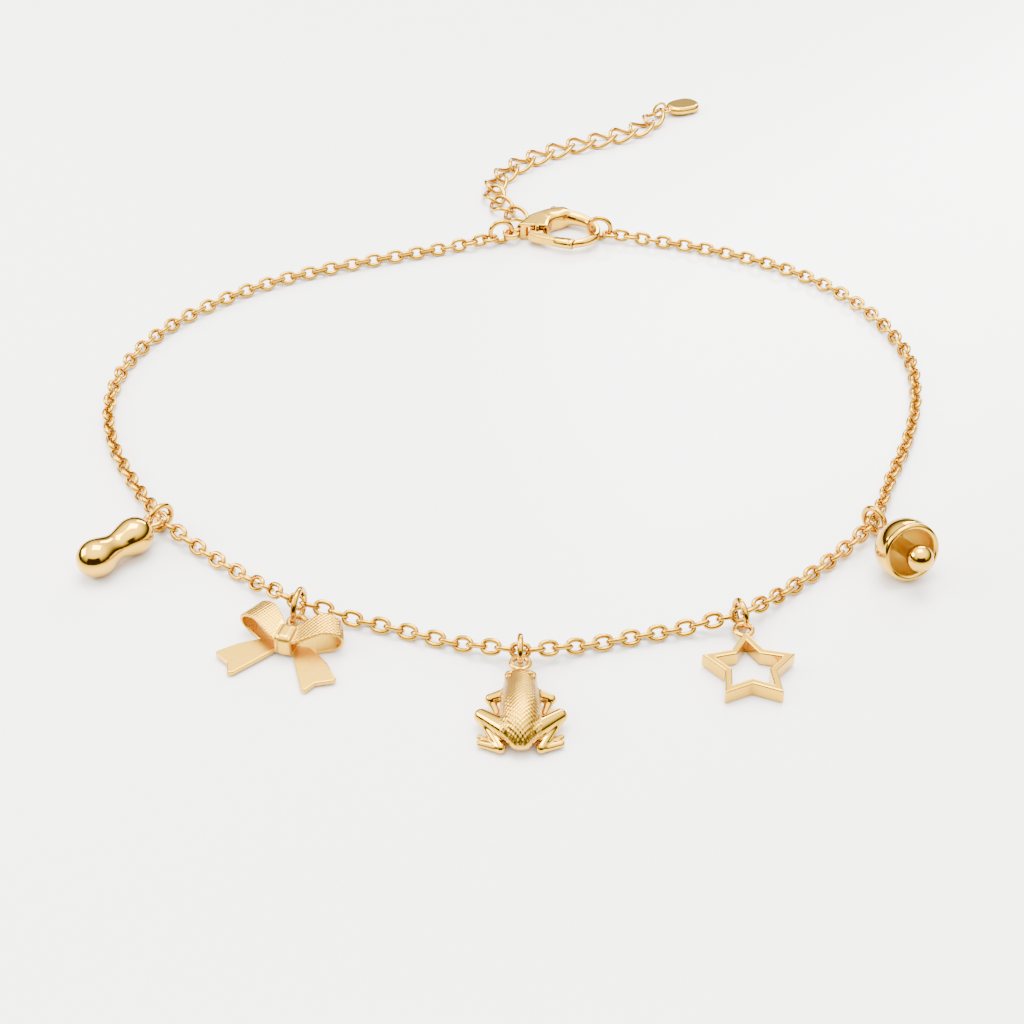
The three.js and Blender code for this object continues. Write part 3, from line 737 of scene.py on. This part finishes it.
def tail():
    samples = (len(TAIL_ROUTE) - 1) * TAIL_SAMPLES_PER_SPAN + 1
    path = Path(np.column_stack((smooth_path(TAIL_ROUTE, samples), np.zeros(samples))))
    pitch = path.length / TAIL_LINKS
    outer = pitch + 2 * TAIL_WIRE + TAIL_GAP
    half_length, half_width = (outer - TAIL_WIRE) / 2, (TAIL_WIDTH - TAIL_WIRE) / 2
    loop = oval_loop(half_length, half_width, TAIL_TWIST, TAIL_STEPS)
    link, faces = closed_tube(loop, TAIL_WIRE / 2, TAIL_SIDES)
    lift = CLEAR - link[:, 2].min()
    parts = []
    for i in range(TAIL_LINKS):
        start, end = path.at(i * pitch), path.at((i + 1) * pitch)
        ahead = (end - start) / np.linalg.norm(end - start)
        middle = (start + end) / 2 + lift * UP
        if i == TAIL_LINKS - 1:
            ahead = ahead * math.cos(LAST_PITCH) + UP * math.sin(LAST_PITCH)
            middle = middle + UP * outer / 2 * math.sin(LAST_PITCH)
        parts.append((link @ frame_along(ahead) + middle, faces))
    points, faces = joined(parts)
    nodes = [f"tail_link_{i + 1:02d}" for i in range(TAIL_LINKS)]
    add_object("tail_links", points, faces, [CHAIN_GOLD], "necklace", "chain_gold", nodes)

    along = path.heading(path.length - END_STEP)
    heading = math.atan2(along[1], along[0]) - DROP_TURN
    ring_centre = path.at(path.length) + DROP_RING_OUT * direction(heading)
    standing_ring("drop_ring", ring_centre[:2], math.degrees(heading), DROP_RING_OUTER, DROP_RING_WIRE)
    return ring_centre, heading


# Charms: each field is in the charm's own frame, whose origin is the middle of its eye

# The box in which each cast piece is meshed, and the width of its mesh's cells
CAST_BOXES = {
    "peanut": ((-2.2, -14.1, -2.8), (3.8, 1.9, 3.0), 0.12),
    "bow": ((-9.2, -11.9, -2.0), (9.2, 1.9, 2.4), 0.11),
    "frog": ((-6.4, -15.8, -2.0), (6.4, 1.8, 3.8), 0.11),
    "star": ((-6.9, -14.8, -1.3), (6.9, 1.8, 1.3), 0.085),
    "mushroom": ((-5.7, -13.8, -4.8), (4.1, 1.5, 4.8), 0.12),
    "clasp_body": ((-1.8, -4.6, -1.9), (16.3, 7.4, 1.9), 0.12),
    "clasp_lever": ((2.6, -4.8, -1.1), (12.3, 9.4, 1.1), 0.09),
    "clasp_pin": ((4.0, 0.0, -1.7), (5.2, 1.2, 1.7), 0.08),
    "drop": ((-2.8, -8.1, -1.0), (2.8, 1.3, 1.1), 0.1),
}

# The solder fillet at a charm's eye
SOLDER = 0.35
FLAT_SOLDER = 0.3


def turn_matrix(yaw, pitch):
    """Turns a charm's own frame into the plan's: columns are its axes."""
    return np.array(Matrix.Rotation(yaw, 3, "Z") @ Matrix.Rotation(pitch, 3, "X"))


def face_means(points, faces, normals):
    """The middle of each face, and how far it faces up."""
    return points[faces].mean(1), normals[faces].mean(1)[:, 2]


def add_charm(charm, points, faces, normals, materials, slot, face_materials=None):
    lie = CHARMS[charm]
    turn = turn_matrix(math.radians(lie["yaw"]), math.radians(lie["pitch"]))
    world = points @ turn.T + np.array((*lie["eye"], 0.0))
    world[:, 2] += CLEAR - world[:, 2].min()
    add_object(
        charm + "_cast", world, faces, materials, "necklace", slot, [charm + "_charm"],
        face_materials, normals @ turn.T,
    )


# Peanut: two round lobes with a soft waist

PEANUT_SIDE = 0.76
NEAR_LOBE = ((PEANUT_SIDE, -3.8, 0.05), (2.6, 2.75, 2.6))
FAR_LOBE = ((PEANUT_SIDE, -10.86, 0.1), (2.7, 2.8, 2.66))
WAIST = ((PEANUT_SIDE, -4.5, 0.05), (PEANUT_SIDE, -10.0, 0.1), 1.98, 2.02)
WAIST_FILLET = 1.6


def peanut_field(p):
    body = blend_union(egg(p, *NEAR_LOBE), rod(p, *WAIST), WAIST_FILLET)
    body = blend_union(body, egg(p, *FAR_LOBE), WAIST_FILLET)
    return blend_union(body, eye_field(p), SOLDER)


def peanut():
    made = skin(peanut_field, *CAST_BOXES["peanut"])
    add_charm("peanut", *made, [POLISHED], "polished_gold")


# Star: a cast outline with a star-shaped hole

STAR_RADIUS = 6.6
STAR_WAIST = 0.557
STAR_WALL = 0.98
STAR_THICK = 2.2
STAR_EDGE = 0.24
STAR_CORNER = 0.02
STAR_EYE_OVERLAP = 0.35
STAR_POINTS = 5


def star_outline(size):
    corner = np.arange(2 * STAR_POINTS)
    turn = np.pi / 2 + corner * np.pi / STAR_POINTS
    reach = np.where(corner % 2, size * STAR_WAIST, size)
    return np.column_stack((reach * np.cos(turn), reach * np.sin(turn)))


def star_field(p):
    step = math.pi / STAR_POINTS
    corner = math.atan2(STAR_WAIST * math.sin(step), 1 - STAR_WAIST * math.cos(step))
    centre = STAR_RADIUS + EYE_OUTER / 2 - STAR_EYE_OVERLAP
    xy = p[:, :2] + (0, centre)
    outer = outline_field(xy, star_outline(STAR_RADIUS))
    hole = outline_field(xy, star_outline(STAR_RADIUS - STAR_WALL / math.sin(corner)))
    body = slab(blend_cut(outer, hole, STAR_CORNER), p[:, 2], STAR_THICK / 2, STAR_EDGE)
    return blend_union(body, eye_field(p), FLAT_SOLDER)


def star():
    made = skin(star_field, *CAST_BOXES["star"])
    add_charm("star", *made, [POLISHED], "polished_gold")


# Frog: a rounded body, a head with two eye bumps, folded arms and legs

# The middle and the half-lengths of each lump
FROG_LUMPS = {
    "torso": ((0, -9.9, 0.7), (2.75, 4.9, 2.5)),
    "rump": ((0, -12.9, -0.1), (2.3, 2.75, 1.6)),
    "chest": ((0, -6.0, 0.4), (2.35, 3.4, 1.9)),
    "head": ((0, -3.9, 0.15), (2.05, 2.2, 1.4)),
    "snout": ((0, -2.9, -0.1), (1.7, 1.25, 0.9)),
}
EYE_BUMP = ((1.42, -3.4, 0.9), 0.74)
EYE_PIT = ((1.5, -3.85, 1.6), 0.34)

# The start and the end of each limb on one side, and its radius at both
FROG_LIMBS = [
    ((1.6, -6.3, 0.4), (3.95, -6.6, -0.2), 0.95, 0.7),
    ((3.95, -6.6, -0.3), (3.1, -8.3, -1.15), 0.65, 0.45),
    ((1.9, -12.8, 0.3), (5.1, -10.0, 0.1), 1.4, 0.95),
    ((5.1, -10.0, -0.1), (2.6, -14.7, -0.9), 0.85, 0.66),
    ((2.6, -14.8, -1.1), (5.2, -13.8, -1.2), 0.6, 0.48),
    ((2.6, -14.8, -1.1), (5.3, -12.6, -1.2), 0.5, 0.4),
]
FAR_AWAY = 9.0

# The frog's back, which has the grid: its half width, where it begins and its lowest height
BACK_HALF = 2.7
BACK_FRONT = -2.2
BACK_LOW = 0.1


def frog_field(p):
    q = p.copy()
    q[:, 0] = np.abs(q[:, 0])
    torso, rump, chest, head, snout = (egg(q, *lump) for lump in FROG_LUMPS.values())
    body = blend_union(blend_union(torso, chest, 1.2), blend_union(head, snout, 0.8), 0.9)
    body = blend_union(body, rump, 0.9)
    body = blend_union(body, ball(q, *EYE_BUMP), 0.25)
    body = blend_cut(body, ball(q, *EYE_PIT), 0.1)
    limbs = np.full(len(q), FAR_AWAY)
    for limb in FROG_LIMBS:
        limbs = blend_union(limbs, rod(q, *limb), 0.25)
    body = blend_union(body, limbs, 0.35)
    return blend_union(body, eye_field(p), SOLDER)


def frog():
    points, faces, normals = skin(frog_field, *CAST_BOXES["frog"])
    middle, facing = face_means(points, faces, normals)
    x, y, z = np.abs(middle[:, 0]), middle[:, 1], middle[:, 2]
    back = (x < BACK_HALF) & (y < BACK_FRONT) & (z > BACK_LOW) & (facing > -0.1)
    add_charm("frog", points, faces, normals, [POLISHED, WOVEN], "satin_gold", back.astype(int))


# Mushroom: a hollow cap with a thick lip, and a stalk inside it that ends in a bulb

CAP_RADIUS = 4.45
CAP_INNER = 3.8
CAP_LIP = 1.4
LIP_RADIUS = 0.42
CROWN = 7.85
CROWN_SIDE = -0.83
NECK = (0.5, 0.4)
NECK_SUNK = 0.4
NECK_EYE_OUTER = 2.5
NECK_EYE_WIRE = 0.55
STALK = 1.15
BULB = 1.9
BULB_OUT = 3.8

# Faces nearer to the cap's middle than this radius, and above this height, belong to its inside
HOLLOW_RADIUS = CAP_INNER + 0.15
HOLLOW_LOW = -CAP_LIP - 0.6


def mushroom_field(p):
    q = p + (-CROWN_SIDE, CROWN, 0)
    along, out = q[:, 1], np.hypot(q[:, 0], q[:, 2])
    middle = (CAP_RADIUS + CAP_INNER) / 2
    shell = np.abs(length(q) - middle) - (CAP_RADIUS - CAP_INNER) / 2
    shell = blend_common(shell, -CAP_LIP - along, 0.25)
    lip_out = math.sqrt(middle**2 - CAP_LIP**2)
    shell = blend_union(shell, np.hypot(out - lip_out, along + CAP_LIP) - LIP_RADIUS, 0.2)
    stalk = np.maximum(out - STALK, np.maximum(along - CAP_INNER, -BULB_OUT - along))
    body = blend_union(shell, stalk, 0.6)
    body = blend_union(body, ball(q, (0, -BULB_OUT, 0), BULB), 0.3)
    neck_end = (0, (NECK_EYE_WIRE - NECK_EYE_OUTER) / 2, 0)
    neck_start = (CROWN_SIDE, CAP_RADIUS - NECK_SUNK - CROWN, 0)
    body = blend_union(body, rod(p, neck_start, neck_end, *NECK), 0.4)
    return blend_union(body, ring_field(p, NECK_EYE_OUTER, NECK_EYE_WIRE), SOLDER)


def mushroom():
    points, faces, normals = skin(mushroom_field, *CAST_BOXES["mushroom"])
    middle = points[faces].mean(1) + (-CROWN_SIDE, CROWN, 0)
    hollow = (length(middle) < HOLLOW_RADIUS) & (middle[:, 1] > HOLLOW_LOW)
    materials = [POLISHED, INSIDE]
    add_charm("mushroom", points, faces, normals, materials, "polished_gold", hollow.astype(int))


# Bow: two ribbon loops, two forked tails and the band round the middle

# Rows of the loop's middle line: out from the knot, height, and how far the ribbon reaches to the
# front and to the back
LOOP_LINE = [
    (0.4, -1.15, -1.7, 1.0),
    (2.4, -1.45, -1.8, 1.3),
    (4.6, -1.6, -1.5, 2.2),
    (6.4, -1.3, -1.5, 2.5),
    (7.3, -0.4, -1.75, 2.2),
    (7.45, 0.6, -1.8, 1.9),
    (6.7, 1.4, -1.6, 2.3),
    (5.0, 1.75, -1.4, 2.5),
    (3.2, 1.55, -1.65, 2.0),
    (1.6, 1.15, -1.8, 1.3),
    (0.4, 0.9, -1.7, 1.0),
]
RIBBON = 0.5
RIBBON_EDGE = 0.2
LOOP_RISE = 26.0
BOW_TAIL = [
    (0.6, 0.4),
    (1.2, -0.9),
    (2.95, -3.75),
    (5.0, -7.0),
    (5.55, -7.2),
    (6.3, -5.55),
    (8.35, -4.45),
    (8.6, -3.95),
    (6.3, -1.6),
    (3.35, 0.4),
]
BOW_TAIL_HEIGHT = -1.2
BOW_TAIL_HALF = 0.34
BOW_TAIL_SPREAD = 0.15
KNOT_DROP = 3.75
KNOT_HALF = (1.3, 1.75, 1.75)
KNOT_ROUND = 0.95
KNOT_RISE = 0.1
RIM_WIRE = 0.17
RIM_IN = 0.22
RIM_SUNK = 0.03
BOW_NECK = ((0, -2.6, 0), (0, -1.45, 0), 0.7, 0.4)
BOW_FILLET = 0.15

# The loops' upper faces have the grid: they face up, above the table's side and beside the knot
CLOTH_FACING = 0.15
CLOTH_BESIDE = 1.5
LOOP_PIECES_PER_SPAN = 3
LOOP_POINTS = smooth_path(LOOP_LINE, (len(LOOP_LINE) - 1) * LOOP_PIECES_PER_SPAN + 1)


def loop_field(p):
    """A ribbon that runs out, round and back, wider away from the knot. Here x is out and z is up."""
    best = np.full(len(p), np.inf)
    low = np.zeros(len(p))
    high = np.zeros(len(p))
    for a, b in zip(LOOP_POINTS[:-1], LOOP_POINTS[1:]):
        t, away = nearest_on(p[:, (0, 2)], a[:2], b[:2])
        closer = away < best
        best = np.where(closer, away, best)
        low = np.where(closer, a[2] + (b[2] - a[2]) * t, low)
        high = np.where(closer, a[3] + (b[3] - a[3]) * t, high)
    middle, half = (low + high) / 2, (high - low) / 2
    return slab(np.sqrt(best) - RIBBON / 2, p[:, 1] - middle, half, RIBBON_EDGE)


def rounded_block(p, half, radius):
    q = np.abs(p) - np.array(half) + radius
    return length(np.maximum(q, 0)) + np.minimum(q.max(1), 0) - radius


def bow_field(p):
    q = p + (0, KNOT_DROP, 0)
    knot = rounded_block(q - (0, 0, KNOT_RISE), KNOT_HALF, KNOT_ROUND)
    q[:, 0] = np.abs(q[:, 0])
    rims = np.hypot(q[:, 0] - KNOT_HALF[0] + RIM_IN, knot + RIM_SUNK) - RIM_WIRE
    made = blend_union(knot, rims, 0.08)
    outline = outline_field(q[:, :2], BOW_TAIL) - BOW_TAIL_SPREAD
    tail = slab(outline, q[:, 2] - BOW_TAIL_HEIGHT, BOW_TAIL_HALF, RIBBON_EDGE)
    ribbon = blend_union(loop_field(turned(q, LOOP_RISE)), tail, BOW_FILLET)
    made = blend_union(made, ribbon, BOW_FILLET)
    made = blend_union(made, rod(p, *BOW_NECK), 0.2)
    return blend_union(made, eye_field(p), FLAT_SOLDER)


def bow():
    points, faces, normals = skin(bow_field, *CAST_BOXES["bow"])
    middle, facing = face_means(points, faces, normals)
    beside = np.abs(middle[:, 0]) > CLOTH_BESIDE
    cloth = (facing > CLOTH_FACING) & (middle[:, 2] > 0.0) & beside
    add_charm("bow", points, faces, normals, [SATIN, WOVEN], "satin_gold", cloth.astype(int))


# Clasp, in its own frame: the origin is the middle of its eye, +X runs to the hook's end

CLASP_HALF = 1.7
SHOULDER_EDGE = 0.75
SLOT_HALF = 0.92
LEVER_HALF = 0.78
HUB_RADIUS = 1.25
PIVOT = (4.6, 0.6)
PIN_RADIUS = 0.4
PIN_HALF = 1.55
PIN_EDGE = 0.12
PIN_HOLE = 0.5
PIN_HOLE_HALF = 1.57
LEVER_HOLE = 0.52

# The eye's middle radius, its half width and half height, and the edge's rounding
CLASP_EYE_RADIUS = 1.275
CLASP_EYE_HALF = (0.325, 0.55)
CLASP_EYE_EDGE = 0.3

# The lug that carries the tail: outer width, wire and middle
LUG = (2.5, 0.45, (2.75, 5.15, -0.73))

# The gate swings inside this radius from the pivot and below a line that falls by SEAM_FALL
SEAM_RADIUS = 7.88
SEAM_FALL = 0.087
GATE_GAP = 0.1
SHOULDER = [
    (0.9, -0.75),
    (2.2, -0.95),
    (4.2, -1.75),
    (6.6, -2.55),
    (7.3, -1.9),
    (6.7, -0.2),
    (6.9, 1.9),
    (7.8, 3.6),
    (9.4, 4.75),
    (9.6, 7.1),
    (7.2, 6.7),
    (5.0, 5.9),
    (3.2, 4.5),
    (1.9, 2.4),
    (0.9, 0.8),
]
# Rows of x, y, width and height
HOOK = [
    (7.6, 5.4, 2.5, 3.0),
    (10.1, 5.85, 2.5, 2.8),
    (12.6, 5.05, 2.35, 2.4),
    (14.6, 3.2, 1.85, 1.9),
    (15.35, 0.9, 1.45, 1.5),
    (14.8, -1.3, 1.5, 1.55),
    (13.2, -2.75, 1.65, 1.6),
    (10.4, -3.55, 1.65, 1.6),
]
LEVER_GATE = [
    (3.7, 0.6),
    (3.0, -0.5),
    (3.0, -1.15),
    (4.4, -2.0),
    (7.0, -3.1),
    (10.7, -4.0),
    (11.2, -2.75),
    (8.2, -2.1),
    (6.0, -0.9),
    (5.5, 0.6),
]
LEVER_TAB = [
    (3.9, 1.2),
    (5.6, 0.3),
    (7.55, 5.0),
    (8.4, 7.6),
    (8.35, 8.7),
    (7.85, 9.1),
    (7.2, 8.7),
    (6.5, 6.8),
]
# The gate's free part, in rows like the hook's, with a small bead where it meets the hook
GATE_BAR = [
    (8.1, -3.0, 1.45, 1.55),
    (9.3, -3.4, 1.6, 1.65),
    (10.2, -3.56, 1.62, 1.62),
    (10.6, -3.6, 1.95, 1.85),
    (11.0, -3.62, 1.6, 1.6),
    (11.6, -3.5, 1.6, 1.6),
]
SLOT = [
    (2.7, -3.2),
    (2.5, 0.5),
    (3.1, 1.8),
    (4.1, 7.5),
    (4.1, 9.2),
    (9.3, 9.2),
    (8.1, 5.2),
    (6.35, 1.2),
    (6.3, 0.2),
    (8.2, -1.0),
    (8.2, -4.4),
]
SHOULDER_LINE = smooth_path(SHOULDER + SHOULDER[:1], len(SHOULDER) * 4 + 1)[:-1]
BAR_PIECES_PER_SPAN = 5


def swept_field(p, rows):
    """A round bar through rows of x, y, width and height."""
    line = smooth_path(rows, (len(rows) - 1) * BAR_PIECES_PER_SPAN + 1)
    best = np.full(len(p), np.inf)
    for a, b in zip(line[:-1], line[1:]):
        t, away = nearest_on(p[:, :2], a[:2], b[:2])
        wide = (a[2] + (b[2] - a[2]) * t) / 2
        tall = (a[3] + (b[3] - a[3]) * t) / 2
        far = np.hypot(np.sqrt(away) / wide, p[:, 2] / tall)
        best = np.minimum(best, (far - 1) * np.minimum(wide, tall))
    return best


def about_pivot(p, radius):
    return np.hypot(p[:, 0] - PIVOT[0], p[:, 1] - PIVOT[1]) - radius


def clasp_body_field(p):
    x, y, height = p[:, 0], p[:, 1], np.abs(p[:, 2])
    shoulder = slab(outline_field(p[:, :2], SHOULDER_LINE), height, CLASP_HALF, SHOULDER_EDGE)
    below_seam = y - PIVOT[1] + SEAM_FALL * (x - PIVOT[0])
    swing = np.maximum(about_pivot(p, SEAM_RADIUS), below_seam)
    eye_width, eye_height = CLASP_EYE_HALF
    eye_flat = np.abs(np.hypot(x, y) - CLASP_EYE_RADIUS) - eye_width
    eye = slab(eye_flat, height, eye_height, CLASP_EYE_EDGE)
    body = blend_cut(blend_union(shoulder, swept_field(p, HOOK), 1.7), swing, 0.12)
    body = blend_common(blend_union(body, eye, 0.5), height - CLASP_HALF, 0.4)
    body = blend_union(body, ring_field(p, *LUG), 0.15)
    slot = np.maximum(outline_field(p[:, :2], SLOT), height - SLOT_HALF)
    body = blend_cut(body, slot, 0.15)
    return np.maximum(body, -np.maximum(about_pivot(p, PIN_HOLE), height - PIN_HOLE_HALF))


def lever_field(p):
    hub = slab(about_pivot(p, HUB_RADIUS), p[:, 2], LEVER_HALF, 0.12)
    gate = slab(outline_field(p[:, :2], LEVER_GATE), p[:, 2], LEVER_HALF, 0.25)
    tab = slab(outline_field(p[:, :2], LEVER_TAB), p[:, 2], LEVER_HALF, 0.35)
    bar = np.maximum(swept_field(p, GATE_BAR), about_pivot(p, SEAM_RADIUS - GATE_GAP))
    lever = blend_union(blend_union(blend_union(hub, gate, 0.3), tab, 0.3), bar, 0.25)
    return np.maximum(lever, -about_pivot(p, LEVER_HOLE))


def pin_field(p):
    return slab(about_pivot(p, PIN_RADIUS), p[:, 2], PIN_HALF, PIN_EDGE)


def clasp():
    rows = (
        ("clasp_body", clasp_body_field, "necklace"),
        ("clasp_lever", lever_field, "lever"),
        ("clasp_pin", pin_field, "necklace"),
    )
    for node, field, body in rows:
        points, faces, normals = skin(field, *CAST_BOXES[node])
        add_object(
            node + "_cast", points + CLASP_EYE, faces, [POLISHED], body, "polished_gold", [node],
            normals=normals,
        )


# Drop at the tail's end: a flat puffed pear with its own eye

DROP_OUTLINE_STEPS = 40
DROP_SIDE = [(0, 0.9), (2.0, 0.9), (2.5, -1.2), (2.5, -3.1)]
DROP_HALF_WIDTH = 2.5
DROP_LOW_MIDDLE = -3.7
DROP_FROM_EYE = 1.6
DROP_HALF = 0.75
DROP_EDGE = 0.7
DROP_RISE = 0.05
DROP_EYE_OUTER = 2.2
DROP_EYE_WIRE = 0.5
DROP_EYE_HEIGHT = 1.25
DROP_FROM_RING = 0.55
DROP_PITCH = math.radians(4)


def drop_outline():
    """Down one side along a curve, round the low end and up the other side."""
    a, b, c, d = np.array(DROP_SIDE)
    t = np.linspace(0, 1, DROP_OUTLINE_STEPS)[:, None]
    side = (1 - t) ** 3 * a + 3 * t * (1 - t) ** 2 * b + 3 * t**2 * (1 - t) * c + t**3 * d
    turn = np.linspace(0, -np.pi, DROP_OUTLINE_STEPS)
    x = DROP_HALF_WIDTH * np.cos(turn)
    y = DROP_LOW_MIDDLE + DROP_HALF_WIDTH * np.sin(turn)
    back = side[::-1] * (-1, 1)
    return np.vstack((side, np.column_stack((x, y)), back[:-1]))


def drop_field(p):
    flat = outline_field(p[:, :2] + (0, DROP_FROM_EYE), DROP_SHAPE)
    body = slab(flat, p[:, 2] - DROP_RISE, DROP_HALF, DROP_EDGE)
    return blend_union(body, ring_field(p, DROP_EYE_OUTER, DROP_EYE_WIRE), 0.25)


DROP_SHAPE = drop_outline()


def drop(ring_centre, heading):
    points, faces, normals = skin(drop_field, *CAST_BOXES["drop"])
    turn = turn_matrix(heading + math.pi / 2, DROP_PITCH)
    out = DROP_FROM_RING + (DROP_EYE_OUTER - DROP_EYE_WIRE) / 2
    place = ring_centre * (1, 1, 0) + out * direction(heading) + DROP_EYE_HEIGHT * UP
    add_object(
        "drop_cast", points @ turn.T + place, faces, [POLISHED], "necklace", "polished_gold", ["drop"],
        normals=normals @ turn.T,
    )


chain_links()
rings()
drop(*tail())
peanut()
bow()
frog()
star()
mushroom()
clasp()


# Table, light and camera

# The table is in metres, and so wide that its edge doesn't show from a low side
TABLE_SIZE = 60.0
TABLE_TINT = colour(0.86, 0.85, 0.83)
TABLE_PALE = colour(0.89, 0.88, 0.87)
TABLE_ROUGH = 0.16
TABLE_UNEVENNESS = 0.05
TABLE_SHEEN = 0.35
CAMERA_PLACE = np.array((0.0, -250.0, 177.0))
CAMERA_PITCH = math.radians(38.6)
LENS = 67.25
SENSOR = 36.0


def table():
    half = TABLE_SIZE / 2
    corners = [(-half, -half, 0), (half, -half, 0), (half, half, 0), (-half, half, 0)]
    mesh = bpy.data.meshes.new("table")
    mesh.from_pydata(corners, [], [(0, 1, 2, 3)])
    s = Shader("pale glossy table")
    s.set(
        Base_Color=s.mix(s.noise(6.0), TABLE_TINT, TABLE_PALE),
        Roughness=TABLE_ROUGH + s.noise(30.0) * TABLE_UNEVENNESS,
        Specular_IOR_Level=TABLE_SHEEN,
    )
    mesh.materials.append(s.material)
    obj = bpy.data.objects.new("table", mesh)
    bpy.context.scene.collection.objects.link(obj)


def light(name, place, size, power, tint):
    """A soft box that is turned to the table's middle."""
    lamp = bpy.data.lights.new(name, "AREA")
    lamp.shape = "RECTANGLE"
    lamp.size, lamp.size_y = size
    lamp.energy = power
    lamp.color = tint
    obj = bpy.data.objects.new(name, lamp)
    obj.matrix_world = aim(place, np.array(place), LAMP_TOP)
    bpy.context.scene.collection.objects.link(obj)


def aim(place, back, top):
    """A matrix at a place whose Z axis points along back."""
    z = back / np.linalg.norm(back)
    x = np.cross(top, z)
    x /= np.linalg.norm(x)
    y = np.cross(z, x)
    made = np.eye(4)
    made[:3, 0], made[:3, 1], made[:3, 2], made[:3, 3] = x, y, z, place
    return Matrix(made.tolist())


# The soft boxes: place and size in metres, power in watts, and tint
LAMPS = {
    "overhead": ((0.0, 0.15, 0.75), (0.5, 0.4), 14.0, (1.0, 1.0, 1.0)),
    "left box": ((-0.6, 0.05, 0.35), (0.25, 0.4), 7.0, (1.0, 0.98, 0.95)),
    "back box": ((0.25, 0.7, 0.4), (0.5, 0.2), 7.0, (1.0, 1.0, 1.0)),
}
LAMP_TOP = (0.0, 1.0, 0.01)
SKY_BRIGHT = colour(1.0, 0.975, 0.95)
SKY_DARK = colour(0.012, 0.007, 0.004)
SKY_STRENGTH = 6.0

# Where the sky changes: each pair has the value at which the change begins and ends
RIM_RISE = (0.14, 0.98)
PATCH_FRONT = (0.25, 0.6)
PATCH_RISE = (0.5, 0.72)
PATCH_SIDES = (0.1, 0.4)


def studio():
    """A bright dome over the table, with a dark rim along the horizon and a dark patch in front."""
    world = bpy.data.worlds.new("studio")
    sky = Shader("studio", world)
    towards = sky.node("ShaderNodeTexCoord", {}, {}, "Generated")
    side, back, height = sky.parts(towards, 3)
    rim = 1.0 - height.smooth(*RIM_RISE)
    front = (-1.0 * back).smooth(*PATCH_FRONT)
    low = 1.0 - height.smooth(*PATCH_RISE)
    narrow = 1.0 - (side * side).smooth(*PATCH_SIDES)
    dark = (rim + front * low * narrow).clamped()
    sky.set(Color=sky.mix(dark, SKY_BRIGHT, SKY_DARK), Strength=SKY_STRENGTH)
    bpy.context.scene.world = world
    for name, lamp in LAMPS.items():
        light(name, *lamp)


def camera():
    made = bpy.data.cameras.new("camera")
    made.lens = LENS
    made.sensor_width = SENSOR
    obj = bpy.data.objects.new("camera", made)
    place = (CAMERA_PLACE + SHIFT) * MM
    back = np.array((0.0, -math.cos(CAMERA_PITCH), math.sin(CAMERA_PITCH)))
    obj.matrix_world = aim(place, back, (0.0, 0.0, 1.0))
    bpy.context.scene.collection.objects.link(obj)
    bpy.context.scene.camera = obj


table()
studio()
camera()
